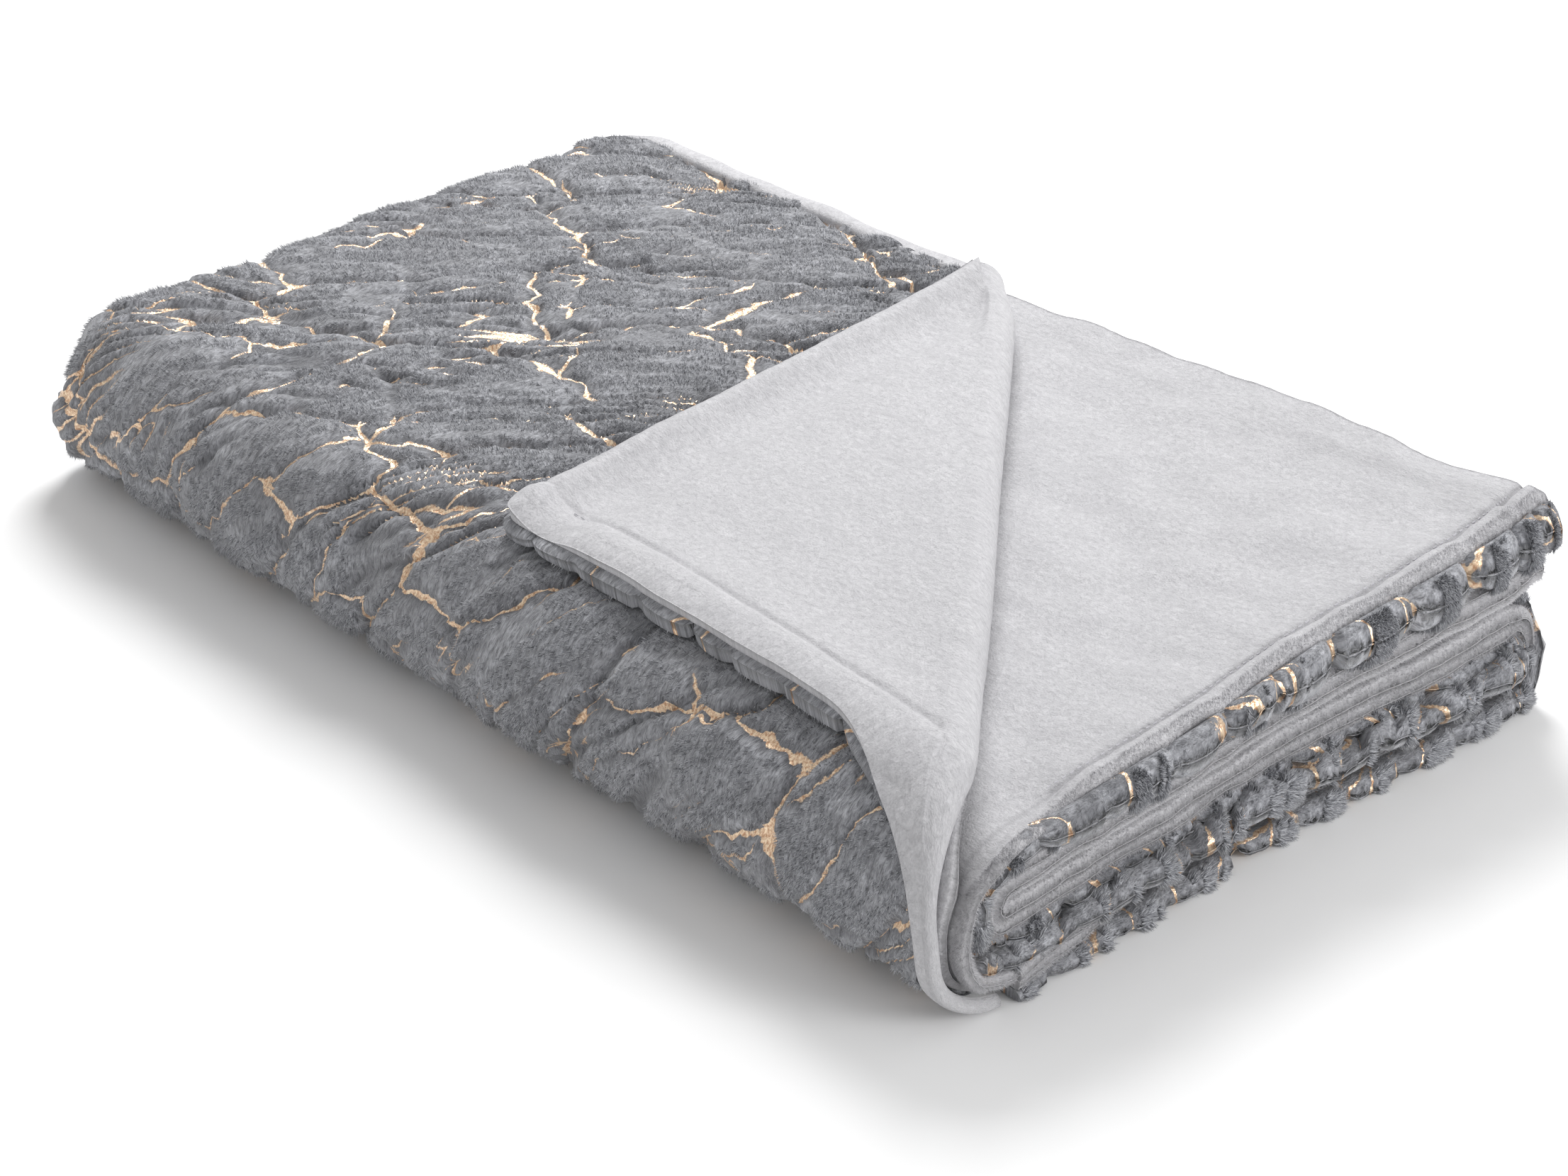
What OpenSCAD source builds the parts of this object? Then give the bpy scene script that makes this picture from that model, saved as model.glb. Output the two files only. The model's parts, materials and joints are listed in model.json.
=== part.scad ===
// Folded throw blanket: faux fur faced with fleece, halved along its length and then folded
// in quarters, with one corner of the top layer turned back.
// +X is the hemmed end, -X the folded end, -Y the long front fold, +Y the back edge.

/* [Folded size] */
// Length from the folded end to the hemmed end
fold_l = 780; // [640:5:900]
// Depth from the front fold to the back edge
fold_d = 500; // [440:5:560]

/* [Cloth] */
// Height that one thickness of cloth takes in the stack
pitch = 15; // [12:0.5:17]
// Thickness of the fur side of the cloth
fur_t = 8.7; // [6:0.1:10]
// Air between one cloth and the next
gap = 0.3; // [0.2:0.05:0.5]
// Air between the fur and the fleece of one cloth
ply_gap = 0.1; // [0.05:0.05:0.2]

/* [Hems] */
// Width of the stitched hems
hem_w = 18; // [12:1:24]
// How far the second leaf's hemmed end lies inside the top leaf's
second_inset = 8; // [0:1:20]
// How far the third leaf's hemmed end lies inside the top leaf's
third_inset = 12; // [0:1:20]
// How far the bottom leaf's hemmed end lies inside the top leaf's
bottom_inset = 3; // [0:1:20]
// How far the second leaf's back hem lies inside the top leaf's
second_back_inset = 7; // [0:1:20]
// Length of one stitch
stitch_l = 3.6; // [2:0.1:5]
// Distance from one stitch to the next
stitch_step = 6; // [5:0.5:10]

/* [Turned corner] */
// Where the crease crosses the back edge, along X
crease_back_x = -20; // [-80:1:60]
// How far the crease reaches short of the hemmed end, at its front
crease_front_in = 31; // [20:1:60]
// Where the turned corner's tip lies, along X
tip_x = -12; // [-100:1:30]
// How far the tip lies inside the front fold
tip_in = 55; // [40:1:120]

/* [Hidden] */
$fn = 64;

fur_colour = [0.42, 0.43, 0.46];
fleece_colour = [0.77, 0.76, 0.79];
hem_colour = [0.66, 0.66, 0.69];
thread_colour = [0.6, 0.6, 0.63];

// Cloths are numbered from 0 at the bottom to 7 at the top; 8 is the turned corner.
// Odd cloths have their fur up, even ones have it down.
fleece_t = pitch - gap - fur_t - ply_gap;
bend_r = 4 * pitch - gap / 2;
front_y = -fold_d / 2 + bend_r;
core_z = bend_r;
back_z = 2 * pitch - gap / 2;
back_y = fold_d / 2 - back_z;
end_r = pitch - gap / 2;
end_x = -fold_l / 2 + end_r;
hem_x = fold_l / 2;
back_edge = fold_d / 2;
second_back = back_edge - second_back_inset;
cut_gap = gap / 2;
cut_turn = 0.2;
stitch_w = 1;
stitch_h = 0.4;
stitch_clear = 0.02;
seam_inset = 2;
seam_ends = 4;
tip_seam_in = 30;
front_seam_in = 40;
elbow_min_r = 0.5;
spill = 2;

// The crease's outermost line, from the back edge to the front, and its direction
crease_a = [crease_back_x, back_edge];
crease_b = [hem_x - crease_front_in, front_y];
crease_len = norm(crease_b - crease_a);
along = (crease_b - crease_a) / crease_len;
across = [-along[1], along[0]];
crease_turn = atan2(along[1], along[0]);
crease_start = 12;
flap_back = crease_a - end_r * across;
crease_stop = (flap_back[1] - front_y) / -along[1];
crease_end = crease_stop - 1;
flap_root = flap_back + along * crease_start;
flap_front = flap_back + along * (crease_len + crease_start);
flap_tip = [tip_x, -fold_d / 2 + tip_in];

function odd(i) = i % 2 == 1;
function ply_low(i, kind) =
    i * pitch + (kind == "fur" ? (odd(i) ? fleece_t + ply_gap : 0) : (odd(i) ? 0 : fur_t + ply_gap));
function ply_high(i, kind) = ply_low(i, kind) + (kind == "fur" ? fur_t : fleece_t);

// ---- shapes shared by the sub-parts ----

// A profile drawn in Y and Z, run along X
module along_x(x0, x1) {
    translate([x0, 0, 0]) rotate([90, 0, 90]) linear_extrude(x1 - x0) children();
}

// A profile drawn in X and Z, run along Y
module along_y(y0, y1) {
    translate([0, y1, 0]) rotate([90, 0, 0]) linear_extrude(y1 - y0) children();
}

// One flat ply of a cloth between two corners
module flat_ply(i, kind, x0, x1, y0, y1) {
    low = ply_low(i, kind);
    translate([x0, y0, low]) cube([x1 - x0, y1 - y0, ply_high(i, kind) - low]);
}

// The ring that a ply of cloth i makes where it bends about height z
module ply_ring(i, kind, z) {
    r_out = z - ply_low(i, kind);
    r_in = z - ply_high(i, kind);
    difference() {
        circle(r_out);
        if (r_in > elbow_min_r) circle(r_in);
    }
}

// The half of a ring on one side of the bend: toward = -1 or 1
module half_ring(i, kind, z, toward) {
    intersection() {
        ply_ring(i, kind, z);
        translate([toward > 0 ? 0 : -z, -z]) square([z, 2 * z]);
    }
}

// A quarter of the front bend: up = 1 above the hinge line, -1 below it
module quarter_ring(i, kind, up) {
    intersection() {
        ply_ring(i, kind, core_z);
        translate([-core_z, up > 0 ? cut_gap : -core_z]) square([core_z, core_z - cut_gap]);
    }
}

// The long front bend of one ply, above or below the hinge line
module front_quarter(i, kind, up, inset) {
    along_x(end_x, hem_x - inset - hem_w) translate([front_y, core_z]) quarter_ring(i, kind, up);
}

// Half of the bend at the folded end, in the plane of radius and length about a curved fold
module end_profile(i, kind, mid_r) {
    intersection() {
        translate([mid_r, 0]) ply_ring(i, kind, end_height(i));
        translate([elbow_min_r, -end_r]) square([mid_r + end_r, end_r]);
    }
}

// Height of the bend that joins cloth i to the cloth above it at the folded end
function end_height(i) = (i + 1) * pitch - gap / 2;

// The straight bend at the folded end, joining cloth i and the cloth above it
module end_tube(i, kind, y0, y1) {
    z = end_height(i);
    along_y(y0, y1) translate([end_x, z]) intersection() {
        ply_ring(i, kind, z);
        translate([-end_r, -end_r]) square([end_r, 2 * end_r]);
    }
}

// The same bend carried round a curved fold about (y, z), from one angle on by sweep degrees
module end_elbow(i, kind, y, z, start, sweep) {
    mid_r = abs(end_height(i) - z);
    translate([end_x, y, z]) rotate([0, 90, 0]) rotate([0, 0, start])
        rotate_extrude(angle = sweep) end_profile(i, kind, mid_r);
}

// A hem strip with a half-round outer edge, in Y and Z
module hem_profile(i, edge) {
    low = i * pitch;
    high = low + pitch - gap;
    r = (high - low) / 2;
    translate([edge - r, low + r]) circle(r);
    translate([edge - hem_w + cut_gap, low]) square([hem_w - r - cut_gap, 2 * r]);
}

// The back hem of cloth i
module back_hem(i, x0, x1, edge) {
    along_x(x0, x1) hem_profile(i, edge);
}

// The end hem of cloth i, from y0 to y1
module end_hem(i, y0, y1, inset) {
    along_y(y0, y1) hem_profile(i, hem_x - inset);
}

// The end hem of cloth i where it runs round the front bend
module front_hem(i, up, inset) {
    along_x(hem_x - inset - hem_w + cut_gap, hem_x - inset) translate([front_y, core_z])
        intersection() {
            difference() {
                circle(core_z - i * pitch);
                circle(core_z - (i + 1) * pitch + gap);
            }
            translate([-core_z, up > 0 ? cut_gap : -core_z]) square([core_z, core_z - cut_gap]);
        }
}

// A band w wide to the left of the line from p to q, which spills over its other three sides
module edge_band(p, q, w) {
    translate(p) rotate(atan2(q[1] - p[1], q[0] - p[0])) translate([-spill, -spill])
        square([norm(q - p) + 2 * spill, w + spill]);
}

// The outline of the turned corner
module flap_outline() {
    polygon([flap_root, flap_tip, flap_front]);
}

// The turned corner without its two hems
module flap_inside() {
    difference() {
        flap_outline();
        edge_band(flap_tip, flap_front, hem_w);
        edge_band(flap_root, flap_tip, hem_w);
    }
}

// The bend of the crease: a half ring cut at the height of the hinge line
module crease_bend(kind, up) {
    z = end_height(7);
    translate([flap_root[0], flap_root[1], z]) rotate([0, 0, crease_turn]) rotate([90, 0, 90])
        linear_extrude(crease_end - crease_start) intersection() {
            ply_ring(7, kind, z);
            translate([0, up > 0 ? cut_gap : -end_r]) square([end_r, end_r - cut_gap]);
        }
}

// The part of the top leaf's upper cloth that stays when its corner is turned
module upper_outline(edge) {
    polygon([
        [end_x, front_y], flap_back + along * crease_stop, flap_root,
        [flap_root[0], edge], [end_x, edge]
    ]);
}

// A row of stitches from p to q at height z
module stitch_row(p, q, z) {
    count = floor(norm(q - p) / stitch_step);
    for (k = [0 : count - 1]) {
        at = p + (q - p) * (k + 0.5) / count;
        translate([at[0], at[1], z + stitch_clear]) rotate([0, 0, atan2(q[1] - p[1], q[0] - p[0])])
            translate([-stitch_l / 2, -stitch_w / 2, 0]) cube([stitch_l, stitch_w, stitch_h]);
    }
}

// ---- top leaf: cloth 7 over cloth 6 ----

module top_upper(kind) {
    translate([0, 0, ply_low(7, kind)]) linear_extrude(ply_high(7, kind) - ply_low(7, kind))
        upper_outline(back_edge - hem_w);
}

module top_upper_fur() {
    color(fur_colour) top_upper("fur");
}

module top_upper_fleece() {
    color(fleece_colour) top_upper("fleece");
}

module top_lower_fleece() {
    color(fleece_colour) flat_ply(6, "fleece", end_x, hem_x - hem_w, front_y, back_edge - hem_w);
}

module top_lower_fur() {
    color(fur_colour) flat_ply(6, "fur", end_x, hem_x - hem_w, front_y, back_edge - hem_w);
}

module top_front_outer_fur() {
    color(fur_colour) front_quarter(0, "fur", 1, 0);
}

module top_front_outer_fleece() {
    color(fleece_colour) front_quarter(0, "fleece", 1, 0);
}

module top_front_inner_fleece() {
    color(fleece_colour) front_quarter(1, "fleece", 1, 0);
}

module top_front_inner_fur() {
    color(fur_colour) front_quarter(1, "fur", 1, 0);
}

module top_end_fold(kind) {
    end_tube(6, kind, front_y, back_edge);
    end_elbow(6, kind, front_y, core_z, 180, 90 - cut_turn);
}

module top_end_fold_fur() {
    color(fur_colour) top_end_fold("fur");
}

module top_end_fold_fleece() {
    color(fleece_colour) top_end_fold("fleece");
}

module top_upper_back_hem() {
    color(hem_colour) back_hem(7, end_x, flap_root[0], back_edge);
}

module top_lower_back_hem() {
    color(hem_colour) back_hem(6, end_x, hem_x - hem_w, back_edge);
}

module top_lower_end_hem() {
    color(hem_colour) end_hem(6, front_y, back_edge, 0);
}

module top_front_end_hem() {
    color(hem_colour) {
        front_hem(0, 1, 0);
        front_hem(1, 1, 0);
    }
}

module top_hem_stitching() {
    z = ply_high(6, "fleece");
    x = hem_x - hem_w - seam_inset;
    color(thread_colour) stitch_row([x, front_y + seam_ends], [x, back_edge - hem_w - seam_ends], z);
}

module crease_lower_fur() {
    color(fur_colour) crease_bend("fur", -1);
}

module crease_lower_fleece() {
    color(fleece_colour) crease_bend("fleece", -1);
}

// ---- turned corner: cloth 8 ----

module corner_ply(kind) {
    translate([0, 0, ply_low(8, kind)]) linear_extrude(ply_high(8, kind) - ply_low(8, kind)) flap_inside();
}

module corner_fur() {
    color(fur_colour) corner_ply("fur");
}

module corner_fleece() {
    color(fleece_colour) corner_ply("fleece");
}

module crease_upper_fur() {
    color(fur_colour) crease_bend("fur", 1);
}

module crease_upper_fleece() {
    color(fleece_colour) crease_bend("fleece", 1);
}

module corner_back_hem() {
    color(hem_colour) translate([0, 0, 8 * pitch]) linear_extrude(pitch - gap) difference() {
        intersection() {
            flap_outline();
            edge_band(flap_root, flap_tip, hem_w - cut_gap);
        }
        edge_band(flap_tip, flap_front, hem_w);
    }
}

module corner_end_hem() {
    color(hem_colour) translate([0, 0, 8 * pitch]) linear_extrude(pitch - gap) intersection() {
        flap_outline();
        edge_band(flap_tip, flap_front, hem_w - cut_gap);
    }
}

module corner_stitching() {
    z = ply_high(8, "fleece");
    from = flap_tip + [tip_seam_in, hem_w + seam_inset];
    to = flap_front + [-front_seam_in, hem_w + seam_inset];
    color(thread_colour) stitch_row(from, to, z);
}

// ---- second leaf: cloth 5 over cloth 4 ----

module second_ply(i, kind) {
    flat_ply(i, kind, end_x, hem_x - second_inset - hem_w, front_y, second_back - hem_w);
}

module second_upper_fur() {
    color(fur_colour) second_ply(5, "fur");
}

module second_upper_fleece() {
    color(fleece_colour) second_ply(5, "fleece");
}

module second_lower_fleece() {
    color(fleece_colour) second_ply(4, "fleece");
}

module second_lower_fur() {
    color(fur_colour) second_ply(4, "fur");
}

module second_end_fold(kind) {
    end_tube(4, kind, front_y, second_back);
    end_elbow(4, kind, front_y, core_z, 180, 90);
}

module second_end_fold_fur() {
    color(fur_colour) second_end_fold("fur");
}

module second_end_fold_fleece() {
    color(fleece_colour) second_end_fold("fleece");
}

module second_back_hems() {
    color(hem_colour) for (i = [4, 5]) back_hem(i, end_x, hem_x - second_inset - hem_w, second_back);
}

module second_end_hems() {
    color(hem_colour) for (i = [4, 5]) end_hem(i, front_y, second_back, second_inset);
}

// ---- the fold that joins the second and third leaves, inside the front fold ----

module core_fold(i, kind) {
    along_x(end_x, hem_x - third_inset) translate([front_y, core_z]) half_ring(i, kind, core_z, -1);
}

module core_fold_outer_fur() {
    color(fur_colour) core_fold(2, "fur");
}

module core_fold_outer_fleece() {
    color(fleece_colour) core_fold(2, "fleece");
}

module core_fold_inner_fleece() {
    color(fleece_colour) core_fold(3, "fleece");
}

module core_fold_inner_fur() {
    color(fur_colour) core_fold(3, "fur");
}

// ---- third leaf: cloth 3 over cloth 2 ----

module third_ply(i, kind) {
    flat_ply(i, kind, end_x, hem_x - third_inset - hem_w, front_y, back_y);
}

module third_upper_fur() {
    color(fur_colour) third_ply(3, "fur");
}

module third_upper_fleece() {
    color(fleece_colour) third_ply(3, "fleece");
}

module third_lower_fleece() {
    color(fleece_colour) third_ply(2, "fleece");
}

module third_lower_fur() {
    color(fur_colour) third_ply(2, "fur");
}

module third_end_fold(kind) {
    end_tube(2, kind, front_y, back_y);
    end_elbow(2, kind, front_y, core_z, 0, -90);
    end_elbow(2, kind, back_y, back_z, 90, 90);
}

module third_end_fold_fur() {
    color(fur_colour) third_end_fold("fur");
}

module third_end_fold_fleece() {
    color(fleece_colour) third_end_fold("fleece");
}

module third_end_hems() {
    color(hem_colour) for (i = [2, 3]) end_hem(i, front_y, back_y, third_inset);
}

// ---- the fold that joins the third and bottom leaves, at the back ----

module back_fold(i, kind) {
    along_x(end_x, hem_x - third_inset) translate([back_y, back_z]) half_ring(i, kind, back_z, 1);
}

module back_fold_outer_fur() {
    color(fur_colour) back_fold(0, "fur");
}

module back_fold_outer_fleece() {
    color(fleece_colour) back_fold(0, "fleece");
}

module back_fold_inner_fleece() {
    color(fleece_colour) back_fold(1, "fleece");
}

module back_fold_inner_fur() {
    color(fur_colour) back_fold(1, "fur");
}

// ---- bottom leaf: cloth 1 over cloth 0 ----

module bottom_ply(i, kind) {
    flat_ply(i, kind, end_x, hem_x - bottom_inset - hem_w, front_y, back_y);
}

module bottom_upper_fur() {
    color(fur_colour) bottom_ply(1, "fur");
}

module bottom_upper_fleece() {
    color(fleece_colour) bottom_ply(1, "fleece");
}

module bottom_lower_fleece() {
    color(fleece_colour) bottom_ply(0, "fleece");
}

module bottom_lower_fur() {
    color(fur_colour) bottom_ply(0, "fur");
}

module bottom_front_outer_fur() {
    color(fur_colour) front_quarter(0, "fur", -1, bottom_inset);
}

module bottom_front_outer_fleece() {
    color(fleece_colour) front_quarter(0, "fleece", -1, bottom_inset);
}

module bottom_front_inner_fleece() {
    color(fleece_colour) front_quarter(1, "fleece", -1, bottom_inset);
}

module bottom_front_inner_fur() {
    color(fur_colour) front_quarter(1, "fur", -1, bottom_inset);
}

module bottom_end_fold(kind) {
    end_tube(0, kind, front_y, back_y);
    end_elbow(0, kind, front_y, core_z, 0, cut_turn - 90);
    end_elbow(0, kind, back_y, back_z, 0, 90);
}

module bottom_end_fold_fur() {
    color(fur_colour) bottom_end_fold("fur");
}

module bottom_end_fold_fleece() {
    color(fleece_colour) bottom_end_fold("fleece");
}

module bottom_end_hems() {
    color(hem_colour) {
        for (i = [0, 1]) end_hem(i, front_y, back_y, bottom_inset);
        front_hem(0, -1, bottom_inset);
        front_hem(1, -1, bottom_inset);
    }
}

top_upper_fur();
top_upper_fleece();
top_lower_fleece();
top_lower_fur();
top_front_outer_fur();
top_front_outer_fleece();
top_front_inner_fleece();
top_front_inner_fur();
top_end_fold_fur();
top_end_fold_fleece();
top_upper_back_hem();
top_lower_back_hem();
top_lower_end_hem();
top_front_end_hem();
top_hem_stitching();
crease_lower_fur();
crease_lower_fleece();
corner_fur();
corner_fleece();
crease_upper_fur();
crease_upper_fleece();
corner_back_hem();
corner_end_hem();
corner_stitching();
second_upper_fur();
second_upper_fleece();
second_lower_fleece();
second_lower_fur();
second_end_fold_fur();
second_end_fold_fleece();
second_back_hems();
second_end_hems();
core_fold_outer_fur();
core_fold_outer_fleece();
core_fold_inner_fleece();
core_fold_inner_fur();
third_upper_fur();
third_upper_fleece();
third_lower_fleece();
third_lower_fur();
third_end_fold_fur();
third_end_fold_fleece();
third_end_hems();
back_fold_outer_fur();
back_fold_outer_fleece();
back_fold_inner_fleece();
back_fold_inner_fur();
bottom_upper_fur();
bottom_upper_fleece();
bottom_lower_fleece();
bottom_lower_fur();
bottom_front_outer_fur();
bottom_front_outer_fleece();
bottom_front_inner_fleece();
bottom_front_inner_fur();
bottom_end_fold_fur();
bottom_end_fold_fleece();
bottom_end_hems();
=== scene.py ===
"""Folded throw blanket: faux fur with foiled veins on a fleece backing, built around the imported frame.

The blanket is one long strip of double cloth. path(t) runs along the strip, from the top leaf's back
edge over the front fold, the bottom leaf, the back fold, the third leaf and the core fold to the second
leaf. Every ply is a closed slab at its own distance from that path, so all of them share one set of
folds. A place on a ply is (s, t, h): s in from the hemmed end, t along the path, h out from the path.
Side 1 is the strip's outer cloth and side -1 its inner one. Lengths are in metres.
"""

import json
import math

import bpy
import numpy as np
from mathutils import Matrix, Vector


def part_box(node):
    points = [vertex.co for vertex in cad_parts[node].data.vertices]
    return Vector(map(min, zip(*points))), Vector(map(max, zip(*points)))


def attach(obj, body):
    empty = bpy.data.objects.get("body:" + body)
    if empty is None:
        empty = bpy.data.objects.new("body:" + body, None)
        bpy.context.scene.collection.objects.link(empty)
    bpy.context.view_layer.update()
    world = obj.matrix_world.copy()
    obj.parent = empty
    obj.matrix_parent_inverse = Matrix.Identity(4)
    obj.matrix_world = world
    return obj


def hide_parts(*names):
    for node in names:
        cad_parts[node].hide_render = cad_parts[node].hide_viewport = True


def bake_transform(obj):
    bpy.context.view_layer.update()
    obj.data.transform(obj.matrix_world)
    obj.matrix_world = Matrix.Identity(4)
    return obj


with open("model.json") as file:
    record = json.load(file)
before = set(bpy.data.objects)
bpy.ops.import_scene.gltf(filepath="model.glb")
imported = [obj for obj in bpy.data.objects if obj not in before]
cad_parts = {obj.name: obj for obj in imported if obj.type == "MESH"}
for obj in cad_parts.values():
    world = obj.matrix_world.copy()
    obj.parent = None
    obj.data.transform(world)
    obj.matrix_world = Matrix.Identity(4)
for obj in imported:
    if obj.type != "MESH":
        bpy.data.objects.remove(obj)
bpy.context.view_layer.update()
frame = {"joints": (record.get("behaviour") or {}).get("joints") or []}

MM = 0.001

# ---- sizes, from the frame ----

GAP = 0.3 * MM
PLY_GAP = 0.1 * MM
HEM_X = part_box("top_lower_end_hem")[1][0]
HEM_W = HEM_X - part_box("top_lower_end_hem")[0][0]
END_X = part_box("top_lower_fur")[0][0]
FRONT_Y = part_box("top_lower_fur")[0][1]
BACK_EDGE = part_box("top_lower_back_hem")[1][1]
SECOND_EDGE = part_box("second_back_hems")[1][1]
BACK_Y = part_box("bottom_lower_fur")[1][1]
STACK_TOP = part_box("top_upper_fur")[1][2]
PITCH = (STACK_TOP + GAP) / 8
FUR_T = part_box("bottom_lower_fur")[1][2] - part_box("bottom_lower_fur")[0][2]
CLOTH = PITCH - GAP
FLEECE_H = (GAP / 2, CLOTH + GAP / 2 - FUR_T - PLY_GAP)
FUR_H = (FLEECE_H[1] + PLY_GAP, CLOTH + GAP / 2)
CORE_Z = STACK_TOP / 2
INSET = {leaf: HEM_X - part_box(f"{leaf}_end_hems")[1][0] for leaf in ("second", "third", "bottom")}
INSET["top"] = 0.0

# ---- noise, all of it seeded ----


def smooth(low, high, x):
    """0 below low, 1 above high, and a smooth step between; low may be above high."""
    t = np.clip((x - low) / (high - low), 0, 1)
    return t * t * (3 - 2 * t)


def hashed(ix, iy, seed):
    """A number from 0 to 1 for each whole-number place."""
    h = (ix.astype(np.int64) * 374761393 + iy.astype(np.int64) * 668265263 + seed * 974711) & 0xFFFFFFFF
    h = ((h ^ (h >> 13)) * 1274126177) & 0xFFFFFFFF
    h = ((h ^ (h >> 15)) * 2246822519) & 0xFFFFFFFF
    return (h ^ (h >> 16)) / 4294967296.0


def noise(x, y, seed):
    """Gradient noise, from about -1 to 1, one bump per unit."""
    x, y = np.broadcast_arrays(np.asarray(x, float), np.asarray(y, float))
    x0, y0 = np.floor(x), np.floor(y)
    fx, fy = x - x0, y - y0
    total = np.zeros(x.shape)
    for dx in (0, 1):
        for dy in (0, 1):
            angle = 2 * math.pi * hashed(x0 + dx, y0 + dy, seed)
            ramp = np.cos(angle) * (fx - dx) + np.sin(angle) * (fy - dy)
            wx = np.abs(1 - dx - fx)
            wy = np.abs(1 - dy - fy)
            wx = wx**3 * (6 * wx * wx - 15 * wx + 10)
            wy = wy**3 * (6 * wy * wy - 15 * wy + 10)
            total = total + ramp * wx * wy
    return total * 1.5


def layered(x, y, seed, octaves=3):
    """Several sizes of noise on top of each other."""
    total = 0
    for k in range(octaves):
        total = total + noise(x * 2**k, y * 2**k, seed + 17 * k) / 2**k
    return total / 1.5


def cracks(x, y, seed):
    """Distance to the nearest border between random cells one unit across, and which side of it this is."""
    x0, y0 = np.floor(x), np.floor(y)
    best = np.full(x.shape, 9.0)
    near_x, near_y, cell = np.zeros(x.shape), np.zeros(x.shape), np.zeros(x.shape)
    spots = []
    for dx in (-2, -1, 0, 1, 2):
        for dy in (-2, -1, 0, 1, 2):
            ix, iy = x0 + dx, y0 + dy
            px = ix + 0.08 + 0.84 * hashed(ix, iy, seed) - x
            py = iy + 0.08 + 0.84 * hashed(ix, iy, seed + 5) - y
            spots.append((px, py, hashed(ix, iy, seed + 9)))
            d = px * px + py * py
            closer = d < best
            best = np.where(closer, d, best)
            near_x = np.where(closer, px, near_x)
            near_y = np.where(closer, py, near_y)
            cell = np.where(closer, spots[-1][2], cell)
    edge, beyond = np.full(x.shape, 9.0), np.zeros(x.shape)
    for px, py, number in spots:
        gx, gy = px - near_x, py - near_y
        length = np.sqrt(gx * gx + gy * gy)
        other = length > 1e-6
        d = (0.5 * (px + near_x) * gx + 0.5 * (py + near_y) * gy) / np.where(other, length, 1)
        nearer = other & (d < edge)
        edge, beyond = np.where(nearer, d, edge), np.where(nearer, number, beyond)
    return edge, np.where(cell > beyond, 1, -1)


# ---- the fur's pattern, in cloth coordinates ----

VEINS = ("wide", "fine", "crease")
VEIN_REACH = 2.8 * MM   # a vein's signed distance is only used this close to it
NO_FOIL = -3.0          # a half width, in millimetres, at which no foil shows
SLANT = (0.69, 0.724)   # the direction that the pattern runs in, across and along the strip
WIDE_CELL, WIDE_SCALE = (0.170, 0.074), 0.095
FINE_CELL, FINE_SCALE = (0.105, 0.036), 0.050


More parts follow.
